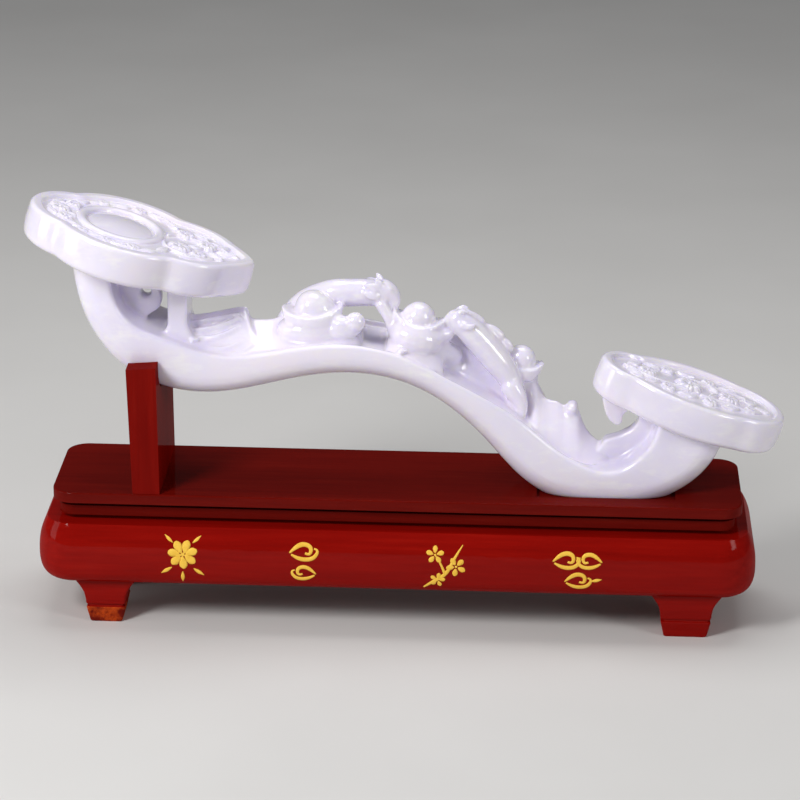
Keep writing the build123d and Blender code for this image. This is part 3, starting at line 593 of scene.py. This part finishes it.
def beast_2_skins():
    """Head raised between two ingots, wavy mane, long back and a tapering leg."""
    skins = balls(((27.8, 0, 169.0, 5.7), (33, 0, 164.6, 7.1), (40, 0.4, 157.4, 7.8),
                   (47, 0.6, 149.3, 7.9), (53.5, 0.4, 141.0, 7.3), (58.5, 0, 132.5, 6.0),
                   (61.0, -2, 124, 4.7), (61.6, -3.5, 116.0, 3.4)))
    skins += balls(((26.2, 0, 170.6, 3.8), (23.8, 0, 168.8, 3.2), (22.6, 0, 167.0, 2.4)))
    skins += balls(((24.8, 0, 165.4, 2.6), (23.6, 0, 164.4, 1.8)))
    for y, out in ((-3.0, -1), (3.0, 1)):
        skins += balls(((28.6, y, 173.4, 1.9), (31.4, y + out * 0.6, 175.0, 1.3),
                        (33.6, y + out, 174.6, 0.9)))
        skins.append(pebble((24.6, y * 0.8, 171.0), (1.4, 1.0, 1.2)))
        skins += balls(((31, y + out * 3.2, 167.6, 2.2), (34.6, y + out * 4.2, 167.0, 1.8),
                        (37.4, y + out * 4.2, 168.2, 1.1)))
    skins += balls(((34, 3, 166, 4.2), (44, 3.6, 157.6, 4.6), (53, 3.8, 149, 4.2)))
    skins += balls(((30.5, 3, 171.6, 2.5), (36, 3.6, 169.8, 2.7), (41, 4, 166.4, 2.6)))
    skins += balls(((43.4, 4, 163.6, 2.2), (47.5, 4.2, 161.9, 2.7), (51.6, 4.2, 158.4, 2.6)))
    skins += balls(((53.2, 4.2, 155.8, 2.0), (55.6, 4.2, 154.4, 2.1), (57.6, 4, 151.4, 1.7)))
    skins += balls(((58.5, -3, 131, 6.0), (63.2, -5, 124, 4.2), (64.6, -6, 117.6, 2.6)))
    return skins


def flower_skins(x, y, z, radius, petals, lean=0.0, turn=0.0):
    """A small blossom lying on the stone, leaned about Y and turned about Z."""
    spin = leaned(lean, turn)
    skins = []
    for i in range(petals):
        a = 2 * math.pi * i / petals
        at = spin @ Vector((math.cos(a) * radius * 0.6, math.sin(a) * radius * 0.6, 0))
        skins.append(pebble((x + at.x, y + at.y, z + at.z),
                            (radius * 0.42, radius * 0.42, radius * 0.3), lean, turn))
    skins.append(pebble((x, y, z), (radius * 0.26,) * 3))
    return skins


def figure_skins():
    """The finer figures: leaf, beasts, the ingots' round caps, sprigs and beads."""
    skins = leaf_skins() + beast_1_skins() + beast_2_skins()
    skins.append(pebble((-49.2, -5, 174.6), (11.5, 10, 9.6), 3))
    skins.append(pebble((6.9, -1, 169.6), (9.6, 9, 8.8), 6))
    skins.append(pebble((63.6, 11, 143.4), (8.2, 7.6, 7.4), 38))
    skins.append(pebble((-33, -12.5, 169.0), (8.5, 6.0, 4.6), 6))
    skins.append(pebble((-26.8, -14, 170.8), (5.6, 5.2, 5.6)))
    skins += balls(((70.5, 12, 136.6, 2.8), (73, 12, 139.2, 1.6), (74.6, 12, 140.6, 0.9)))
    return skins + flower_skins(-1.0, -19.5, 157.0, 2.8, 5, 0, -20)


SMOOTH_NODES = ("scepter_shaft", "head_strut", "head_hook")
INGOTS = ("ingot_1", "ingot_2", "ingot_3")
CARVED_NODES = SMOOTH_NODES + INGOTS + ("tail_hook", "bead", "beast_1", "beast_2",
                                        "pointed_leaf", "ribbon_leaf")


def carved_handle(voxel):
    """The handle with its big forms, polished, then with its figures as well."""
    bed_smoothing, figure_smoothing = 9, 7
    bed = carve("handle_bed", bed_skins(), SMOOTH_NODES, voxel, bed_smoothing)
    vertices = np.array([v.co for v in bed.data.vertices]) / MM
    faces = [tuple(p.vertices) for p in bed.data.polygons]
    bpy.data.objects.remove(bed)
    return carve("carved_handle", [(vertices, faces)] + figure_skins(), INGOTS, voxel,
                 figure_smoothing)


# Plaques: a grid of rings inside the lobed outline, raised by a height field

def lobed_outline(lobes, length, width, count):
    """The plaque's outline, evenly spaced, its notches softened."""
    points = []
    for start, middle, end in lobes:
        scaled = [(u * length / 2, v * width / 2) for u, v in (start, middle, end)]
        points += arc(*scaled, 90)
    points.append(points[0])
    points = np.array([(p.real, p.imag) for p in points])
    run = np.concatenate([[0], np.cumsum(np.linalg.norm(np.diff(points, axis=0), axis=1))])
    even = np.linspace(0, run[-1], count, endpoint=False)
    outline = np.stack([np.interp(even, run, points[:, i]) for i in (0, 1)], axis=1)
    reach = int(2.2 / (run[-1] / count))
    for _ in range(3):
        outline = sum(np.roll(outline, k, axis=0) for k in range(-reach, reach + 1))
        outline /= 2 * reach + 1
    return outline


def step_up(value, low, high):
    """Smooth climb from 0 to 1 between low and high."""
    t = np.clip((value - low) / (high - low), 0, 1)
    return t * t * (3 - 2 * t)


def blossom(s, t, at_s, at_t, radius, petals, turn, height):
    """Relief of a blossom: round petals about a small eye."""
    x, y = s - at_s, t - at_t
    r = np.hypot(x, y) / radius
    a = np.arctan2(y, x) + turn
    edge = 0.80 + 0.20 * np.abs(np.cos(a * petals / 2))
    petal = np.clip(1 - (r / edge) ** 4, 0, 1) * (0.45 + 0.55 * np.clip(r / 0.7, 0, 1))
    groove = 1 - 0.45 * np.exp(-(np.sin(a * petals / 2) / 0.28) ** 2) * np.clip(r, 0, 1)
    eye = 0.9 * np.exp(-(r / 0.2) ** 2)
    return height * np.maximum(petal * groove, eye)


def blade(s, t, at_s, at_t, length, width, turn, height):
    """Relief of a pointed leaf with a sunk midrib and fine veins."""
    x, y = s - at_s, t - at_t
    u = (x * math.cos(turn) + y * math.sin(turn)) / length
    v = (-x * math.sin(turn) + y * math.cos(turn)) / width
    half = np.clip(1 - np.abs(2 * u) ** 1.7, 0, 1)
    body = np.clip(1 - (2 * v / np.maximum(half, 1e-3)) ** 2, 0, 1) * (half > 0)
    rib = 1 - 0.5 * np.exp(-(v / 0.06) ** 2)
    veins = 1 - 0.16 * (0.5 + 0.5 * np.cos((u + np.abs(v) * 0.9) * 38))
    return height * np.sqrt(body) * rib * veins


def scroll(s, t, points, radius, height):
    """Relief of a thin stem along a smooth line."""
    line = smooth_curve(points, 60)
    best = np.full(s.shape, 1e9)
    for a, b in line:
        best = np.minimum(best, (s - a) ** 2 + (t - b) ** 2)
    return height * np.clip(1 - best / radius ** 2, 0, 1) ** 0.5


HEAD_BLOSSOMS = (           # along, across, radius, petals, height
    (-47, -1, 7.0, 6, 1.9), (-41, 11, 5.0, 5, 1.6), (-42.5, -12.5, 5.4, 5, 1.7),
    (21, -9, 7.4, 6, 1.9), (32, -13.5, 5.4, 5, 1.7), (22, 13, 6.4, 6, 1.8),
    (35, 4, 6.4, 6, 1.9), (-30, -25.5, 3.9, 5, 1.3), (-17, -30.5, 4.1, 5, 1.4),
    (-2, -30.5, 4.6, 5, 1.5), (-26, 27.5, 4.2, 5, 1.3), (-6, 31, 4.4, 5, 1.4),
)
HEAD_BLADES = (             # along, across, length, width, turn, height
    (-49, 9, 11, 5.4, 0.9, 1.3), (-50, -9, 11, 5.4, -0.9, 1.3), (-37, 19, 11, 5, 0.7, 1.2),
    (-37, -20, 11, 5, -0.7, 1.2), (-24, -29, 8, 3.6, -0.3, 1.1), (-9.5, -31, 9, 3.8, 0.1, 1.1),
    (6, -29.5, 10, 4.4, 0.4, 1.2), (13, -21, 11, 5.4, 0.9, 1.3), (-16, 30.5, 10, 4.2, 0.2, 1.1),
    (4, 29.5, 11, 4.8, -0.3, 1.2), (14, 22, 11, 5.6, -0.9, 1.3), (29, -3, 11, 5.4, 0.4, 1.3),
    (41, -7.5, 12, 5.6, -0.6, 1.3), (43, 8, 12, 5.2, 0.6, 1.3), (30, 17, 12, 5.4, -0.5, 1.2),
    (28, -20, 12, 5.2, 0.4, 1.2), (47, 0.5, 13, 5.8, 0.0, 1.4),
)
HEAD_SCROLLS = (
    ((12, -6), (15, -14), (23, -18), (33, -19), (40, -13)),
    ((13, 5), (18, 10), (29, 9), (38, 11), (46, 4)),
    ((-38, 6), (-42, 5), (-47, 8), (-52, 3)), ((-38, -6), (-42, -6), (-48, -9), (-52, -3)),
    ((-34, -22), (-24, -27), (-10, -33), (4, -31), (12, -25)),
    ((-34, 22), (-24, 28), (-10, 33), (4, 31), (12, 25)),
)
TAIL_BLOSSOMS = (
    (-27, 0, 6.4, 6, 1.8), (-3, -1, 8.6, 7, 2.0), (20, -1.5, 7.0, 6, 1.9),
    (-15, -13, 4.8, 5, 1.5), (9, -15, 4.8, 5, 1.5), (-15, 12.5, 4.8, 5, 1.5),
    (9, 14, 4.8, 5, 1.5), (33, -6, 4.2, 5, 1.4),
)
TAIL_BLADES = (
    (-34, -7, 11, 5.2, -0.6, 1.2), (-34, 7, 11, 5.2, 0.6, 1.2), (-24, -11.5, 10, 4.6, 0.4, 1.2),
    (-24, 11.5, 10, 4.6, -0.4, 1.2), (-4, -15.5, 12, 5.0, 0.1, 1.2), (-4, 15.5, 12, 5, -0.1, 1.2),
    (11, -5.5, 10, 4.6, 0.9, 1.3), (11, 5.5, 10, 4.6, -0.9, 1.3), (21, -13, 12, 5.2, 0.3, 1.2),
    (21, 12, 12, 5.2, -0.3, 1.2), (32, 4, 12, 5.4, 0.4, 1.3), (40, -1, 10, 4.8, 0.0, 1.2),
)
TAIL_SCROLLS = (
    ((-40, 0), (-34, -3), (-22, -8), (-12, -8), (-4, -9)), ((-4, 9), (8, 9), (18, 8), (30, 9)),
    ((4, -10), (12, -10), (20, -9), (30, -10), (38, -5)),
)


def relief(s, t, blossoms, blades, scrolls):
    """All the carving in a plaque's field, highest form first."""
    height = np.zeros(s.shape)
    for a, b, length, width, turn, rise in blades:
        height = np.maximum(height, blade(s, t, a, b, length, width, turn, rise))
    for points in scrolls:
        height = np.maximum(height, scroll(s, t, points, STEM_RADIUS, 1.0))
    for i, (a, b, radius, petals, rise) in enumerate(blossoms):
        height = np.maximum(height, blossom(s, t, a, b, radius, petals, 0.7 * i, rise))
    return RELIEF_SHARE * height


def head_height(s, t, edge):
    """Height over the head's rim level; edge is the distance in from the outline."""
    inside = step_up(edge, HEAD_RIM - FIELD_STEP_OUT, HEAD_RIM + FIELD_STEP_IN)
    carved = relief(s, t, HEAD_BLOSSOMS, HEAD_BLADES, HEAD_SCROLLS)
    around = np.hypot(s + MEDALLION_SHIFT, t)
    clear = step_up(around, *MEDALLION_CLEAR)
    radius, half, height = MEDALLION_RING
    ring = height * np.clip(1 - ((around - radius) / half) ** 2, 0, 1) ** 0.5
    radius, half, depth = MEDALLION_GROOVE
    groove = -depth * np.exp(-((around - radius) / half) ** 2)
    radius, height = MEDALLION_DOME
    dome = height * np.clip(1 - (around / radius) ** 2, 0, 1)
    return inside * (-FIELD_DEPTH + clear * carved + ring + groove + dome)


def tail_height(s, t, edge):
    """The same for the tail, whose field swells a little in the middle."""
    inside = step_up(edge, TAIL_RIM - FIELD_STEP_OUT, TAIL_RIM + FIELD_STEP_IN)
    carved = relief(s, t, TAIL_BLOSSOMS, TAIL_BLADES, TAIL_SCROLLS)
    swell_height, swell_along, swell_across = 0.9, 40, 20
    swell = swell_height * np.clip(1 - (s / swell_along) ** 2 - (t / swell_across) ** 2, 0, 1)
    return inside * (-FIELD_DEPTH + carved + swell)


def plaque(name, lobes, length, width, thickness, centre_share, height, plane):
    """A lobed plate with rounded edges; its carved face is raised by height.

    Its spokes meet at centre_share of half the length. The plane is the middle of its
    face and its tilt about Y.
    """
    around, rings_in = ((900, 190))
    outline = lobed_outline(lobes, length, width, around)
    centre = np.array([centre_share * length / 2, 0.0])
    spokes = outline - centre
    reach = np.linalg.norm(spokes, axis=1)[:, None]
    vertices = []

    def ring(inset, depth):
        place = centre + spokes * (1 - inset / reach)
        return np.concatenate([place, np.full((around, 1), -depth)], axis=1)

    turns = [math.pi / 2 * k / 8 for k in range(9)]
    low, top = PLAQUE_LOW_ROUND, PLAQUE_TOP_ROUND
    for a in turns:
        vertices.append(ring(low - low * math.sin(a), thickness - low + low * math.cos(a)))
    vertices.append(ring(-PLAQUE_SWELL, thickness * 0.55))
    for a in turns:
        vertices.append(ring(top - top * math.cos(a), top - top * math.sin(a)))
    for k in range(1, rings_in):
        f = 1 - k / rings_in
        inset = reach * (1 - f) + top * f
        place = centre + spokes * (1 - inset / reach)
        s, t = place[:, 0], place[:, 1]
        edge = inset[:, 0] * 0.93      # a spoke meets the outline at a slant
        vertices.append(np.stack([s, t, height(s, t, edge)], axis=1))
    rows = len(vertices)
    points = np.concatenate(vertices)
    faces = grid_faces(rows, around)
    faces.append(tuple(reversed(range(around))))
    faces.append(tuple((rows - 1) * around + c for c in range(around)))
    middle, tilt = plane
    turn = math.radians(tilt)
    along = np.array([math.cos(turn), 0, -math.sin(turn)])
    out = np.array([math.sin(turn), 0, math.cos(turn)])
    across = np.array([0, 1, 0])
    placed = (np.array(middle) + points[:, :1] * along + points[:, 1:2] * across
              + points[:, 2:] * out)
    return make_mesh(name, placed, faces)


def head_place():
    """The middle of the head's face, and its tilt."""
    turn = math.radians(HEAD_TILT)
    reach = HEAD_LENGTH / 2 * math.cos(turn) + HEAD_THICKNESS * math.sin(turn)
    return (reach - SCEPTER_LENGTH / 2, 0, FOOT_FLOOR + HANDLE_HEIGHT), HEAD_TILT


def tail_place():
    """The middle of the tail's face, and its tilt."""
    reach = TAIL_LENGTH / 2 * math.cos(math.radians(TAIL_TILT))
    return (SCEPTER_LENGTH / 2 - reach, 0, FOOT_FLOOR + TAIL_HEIGHT), TAIL_TILT


# Gold motifs painted on the apron's front

def apron_out():
    """Table of the apron's bulge: height over the apron's foot, and how far out."""
    line = smooth_curve([(out, share * APRON_HEIGHT) for out, share in APRON_OUTLINE], 60)
    return line[::-1, 1], line[::-1, 0]


APRON_UP, APRON_OUT = apron_out()


def on_apron(x, up, lift):
    """A point over the apron's front, from the height above its foot and a lift."""
    out = np.interp(up, APRON_UP, APRON_OUT)
    return (x, -(BOARD_DEPTH / 2 + out + lift), FOOT_HEIGHT + up)


BRUSH = (                   # section of a stroke: share of its half width, lift over the apron
    (-1, 0.02), (-0.6, 0.22), (0, 0.32), (0.6, 0.22), (1, 0.02), (0.8, -0.4), (-0.8, -0.4),
)
THINNEST_STROKE = 0.12


def stroke(stations):
    """A brush stroke on the apron: stations are (x, up, half width)."""
    rings = []
    line = smooth_curve(stations, max(6, 3 * len(stations) + 6))
    ways = np.gradient(line[:, :2], axis=0)
    ways /= np.maximum(np.linalg.norm(ways, axis=1)[:, None], 1e-6)
    for (x, up, half), (a, b) in zip(line, ways):
        half = max(half, THINNEST_STROKE)
        side = (-b * half, a * half)
        rings.append([on_apron(x + side[0] * k, up + side[1] * k, lift) for k, lift in BRUSH])
    return loft(rings)


def painted(name, strokes):
    """One object from many brush strokes."""
    vertices, faces, count = [], [], 0
    for stations in strokes:
        points, polygons = stroke(stations)
        vertices += points
        faces += [tuple(count + i for i in p) for p in polygons]
        count += len(points)
    return make_mesh(name, vertices, faces)


CLOUD_CURLS = (             # along, up, half width, in shares of the cloud's size
    ((-0.9, 0.0, 0.05), (-0.5, 0.35, 0.13), (0.0, 0.55, 0.15), (0.45, 0.3, 0.13),
     (0.35, -0.05, 0.1), (0.08, 0.0, 0.07)),
    ((-0.8, -0.1, 0.06), (-0.3, -0.35, 0.13), (0.3, -0.4, 0.14), (0.75, -0.15, 0.12),
     (0.85, 0.2, 0.08), (0.65, 0.3, 0.05)),
)


def cloud_strokes(x, up, size, hand=1):
    """A cloud head of two curls; hand -1 mirrors it."""
    return [[(x + hand * a * size, up + b * size, w * size) for a, b, w in curl]
            for curl in CLOUD_CURLS]


def sprig_strokes(x, up, size, petals=5, turn=0.3):
    """A painted blossom: its petals, each a short full stroke, and its eye."""
    made = []
    for i in range(petals):
        a = turn + 2 * math.pi * i / petals
        made.append([(x + math.cos(a) * size * r, up + math.sin(a) * size * r, w * size)
                     for r, w in ((0.22, 0.07), (0.5, 0.24), (0.8, 0.26), (1.0, 0.08))])
    made.append([(x - 0.12 * size, up, 0.08 * size), (x, up, 0.13 * size),
                 (x + 0.12 * size, up, 0.08 * size)])
    return made


def leaf_strokes(x, up, length, turn):
    """One painted leaf from its stalk at (x, up)."""
    ways = (math.cos(turn), math.sin(turn))
    return [[(x + ways[0] * length * r, up + ways[1] * length * r, w * length)
             for r, w in ((0.0, 0.03), (0.3, 0.13), (0.6, 0.15), (0.85, 0.07), (1.0, 0.02))]]


def motifs():
    """Four generic gold ornaments, each named; x is along the apron, up is over its foot."""
    peony = sprig_strokes(-119, 20.5, 8.2, 7) + sprig_strokes(-119, 20.5, 4.0, 5, 0.9)
    peony += leaf_strokes(-113.0, 12.5, 6.8, -0.6) + leaf_strokes(-125, 13, 6.8, 3.7)
    peony += leaf_strokes(-119, 10.5, 6.5, -1.6) + leaf_strokes(-113.5, 27, 6, 0.7)
    peony += leaf_strokes(-124.5, 27, 6, 2.4)
    cloud = cloud_strokes(-52.7, 23, 8.6) + cloud_strokes(-52.7, 11, 7.4, -1)
    plum = sprig_strokes(19, 24, 5.0) + sprig_strokes(30.5, 17.5, 5.4, 5, 0.8)
    plum += sprig_strokes(20.5, 9.5, 4.2, 5, 0.1)
    plum += [[(13, 4.5, 0.5), (17.5, 8, 0.9), (24.5, 13, 1.0), (29, 21, 0.8), (34, 29.5, 0.3)],
             [(24.5, 13, 0.8), (22, 19, 0.6), (19, 24, 0.4)]]
    band = cloud_strokes(90.5, 22, 8.2) + cloud_strokes(103, 22, 7.6, -1)
    band += cloud_strokes(97, 10.5, 8.0) + leaf_strokes(104, 11, 6, 0.2)
    return {"gold_blossom_left": peony, "gold_cloud_left": cloud, "gold_blossom_right": plum,
            "gold_cloud_right": band}


def rounded_ring(middle, half_x, half_y, z, radius=1.3):
    """A level ring: a rectangle with rounded corners."""
    ring = []
    for sx, sy, start in ((1, 1, 0), (-1, 1, 90), (-1, -1, 180), (1, -1, 270)):
        for k in range(5):
            a = math.radians(start + 22.5 * k)
            ring.append((middle[0] + sx * (half_x - radius) + radius * math.cos(a),
                         middle[1] + sy * (half_y - radius) + radius * math.sin(a), z))
    return ring


def dressed_foot(name, side_x, side_y, width, pad):
    """A bracket foot: swept bracket, notch and tapered pad, which may be worn."""
    middle = (STAND_SHIFT + side_x * FOOT_SPREAD,
              side_y * (BOARD_DEPTH / 2 + FOOT_INSET - FOOT_DEPTH / 2))
    rings = [rounded_ring(middle, width / 2 + out, FOOT_DEPTH / 2 + min(out, 0) * FOOT_TAPER, z)
             for z, out in FOOT_LEVELS]
    made = make_mesh(name + "_dressed", *loft(rings), smooth=False)
    stand_for(made, "stand", "red_lacquer", LACQUER, name)
    made.data.materials.append(pad)
    for polygon in made.data.polygons:
        if polygon.center.z < FOOT_PAD * MM:
            polygon.material_index = 1
    finish_with(made, "SUBSURF", levels=1, render_levels=1, subdivision_type="SIMPLE")


def dressed_post():
    """The cradle post from its CAD form, its prongs' tops set to the photo's height."""
    made = joined("post_dressed", [], ("cradle_post",))
    for vertex in made.data.vertices:
        vertex.co.x += POST_SHIFT * MM
        if vertex.co.z > PRONG_LEVEL * MM:
            vertex.co.z -= PRONG_DROP * MM
        if abs(vertex.co.y) > POST_SIDE * MM:
            vertex.co.y = math.copysign(POST_FACE * MM, vertex.co.y)
    for polygon in made.data.polygons:
        polygon.use_smooth = False
    return made


# Stage, lamps and camera

def stage():
    """A wide pale floor."""
    rings, columns = 10, 64
    vertices = [(0, 0, 0)]
    for r in range(1, rings + 1):
        radius = FLOOR_RADIUS * (r / rings) ** 2
        vertices += [(radius * math.cos(2 * math.pi * c / columns),
                      radius * math.sin(2 * math.pi * c / columns), 0) for c in range(columns)]
    faces = [(0, 1 + c, 1 + (c + 1) % columns) for c in range(columns)]
    for r in range(rings - 1):
        a = 1 + r * columns
        faces += [(a + c, a + columns + c, a + columns + (c + 1) % columns, a + (c + 1) % columns)
                  for c in range(columns)]
    floor = make_mesh("floor", vertices, faces)
    n = Nodes("floor_paper")
    n.join(n.ramp(n.noise(6, 3), ((0.3, (0.66, 0.65, 0.635)), (0.7, (0.69, 0.68, 0.665)))),
           n.shader.inputs["Base Color"])
    n.set(Roughness=0.9, Specular_IOR_Level=0.1)
    floor.data.materials.append(n.material)


def lamp(name, place, target, size, power):
    """A soft white area lamp, aimed at a point."""
    data = bpy.data.lights.new(name, "AREA")
    data.shape = "RECTANGLE"
    data.size, data.size_y = size
    data.energy = power
    made = bpy.data.objects.new(name, data)
    made.location = place
    made.rotation_euler = (Vector(target) - Vector(place)).to_track_quat("-Z", "Y").to_euler()
    bpy.context.scene.collection.objects.link(made)


def light_up():
    """A dim even world and soft lamps, low enough that the pale stone doesn't clip."""
    world = bpy.data.worlds.new("studio")
    world.use_nodes = True
    bpy.context.scene.world = world
    shade = world.node_tree.nodes["Background"]
    shade.inputs["Color"].default_value = WORLD_COLOUR
    shade.inputs["Strength"].default_value = WORLD_STRENGTH
    for row in LAMPS:
        lamp(*row)


def camera():
    """The camera at the photo's angle."""
    a, p = math.radians(CAMERA_AZIMUTH), math.radians(CAMERA_ELEVATION)
    away = Vector((-math.sin(a) * math.cos(p), math.cos(a) * math.cos(p), -math.sin(p)))
    data = bpy.data.cameras.new("camera")
    data.sensor_width = SENSOR_WIDTH
    data.lens = CAMERA_FOCAL / PHOTO_SIDE * SENSOR_WIDTH
    data.clip_start, data.clip_end = 0.05, 60
    made = bpy.data.objects.new("camera", data)
    made.location = (Vector(CAMERA_TARGET) - away * CAMERA_DISTANCE) * MM
    level = away.to_track_quat("-Z", "Y").to_matrix()
    roll = Matrix.Rotation(math.radians(-CAMERA_ROLL), 3, "Z")
    made.rotation_euler = (level @ roll).to_euler()
    bpy.context.scene.collection.objects.link(made)
    bpy.context.scene.camera = made


# The whole

bpy.context.scene.view_settings.view_transform = "Standard"
camera()
light_up()
stage()

ALONG, UP = (0.06, 1, 1), (1, 1, 0.06)       # stretch of the wood's grain
STONE = stone_material()
LACQUER = lacquer_material("red_lacquer", ALONG)
# The post's lacquer is a darker copy of the red: painted shade on its front
UPRIGHT_PAINTED_SHADE = lacquer_material("red_lacquer_upright_painted_shade", UP, depth=0.72, gloss=0.07)
# The board's lacquer is a darker copy of the red: painted shade for its dark top
BOARD_PAINTED_SHADE = lacquer_material("red_lacquer_board_painted_shade", ALONG, depth=0.5, gloss=0.12)
# The waist's lacquer is a darker copy of the red: painted shade in the groove over the apron
SHADED = lacquer_material("red_lacquer_groove_painted_shade", ALONG, depth=0.5, gloss=0.05)
WORN = worn_lacquer_material()
GOLD = gold_material()
WOOD = bare_wood_material()
STEEL = steel_material()

voxel = STONE_VOXEL * 1
handle = carved_handle(voxel)
stand_for(handle, "scepter", "white_stone", STONE, *CARVED_NODES)
head = plaque("head_relief", HEAD_LOBES, HEAD_LENGTH, HEAD_WIDTH, HEAD_THICKNESS, -0.2,
              head_height, head_place())
stand_for(head, "scepter", "white_stone", STONE, "head_plaque")
tail = plaque("tail_relief", TAIL_LOBES, TAIL_LENGTH, TAIL_WIDTH, TAIL_THICKNESS, 0.0,
              tail_height, tail_place())
stand_for(tail, "scepter", "white_stone", STONE, "tail_plaque")

SIDES = ("front", "right", "back", "left")
# painted shade: the waist rails take the darker lacquer copy
coat(SHADED, *("waist_" + side for side in SIDES))
coat(LACQUER, *("apron_" + side for side in SIDES))
# painted shade: the board takes the darker lacquer copy
coat(BOARD_PAINTED_SHADE, "top_board")
coat(WOOD, "corner_block_left_front", "corner_block_left_back",
     "corner_block_right_front", "corner_block_right_back")
coat(STEEL, "post_screws", "board_screws")
for hand, side_x in (("left", -1), ("right", 1)):
    for end, side_y in (("front", -1), ("back", 1)):
        worn = (hand, end) == ("left", "front")
        dressed_foot("foot_" + end + "_" + hand, side_x, side_y, FOOT_WIDTHS[hand],
                     WORN if worn else LACQUER)
# the post takes the darker lacquer copy, which is painted shade
stand_for(dressed_post(), "stand", "red_lacquer", UPRIGHT_PAINTED_SHADE, "cradle_post")
for name, strokes in motifs().items():
    stand_for(painted(name, strokes), "stand", "red_lacquer", GOLD)
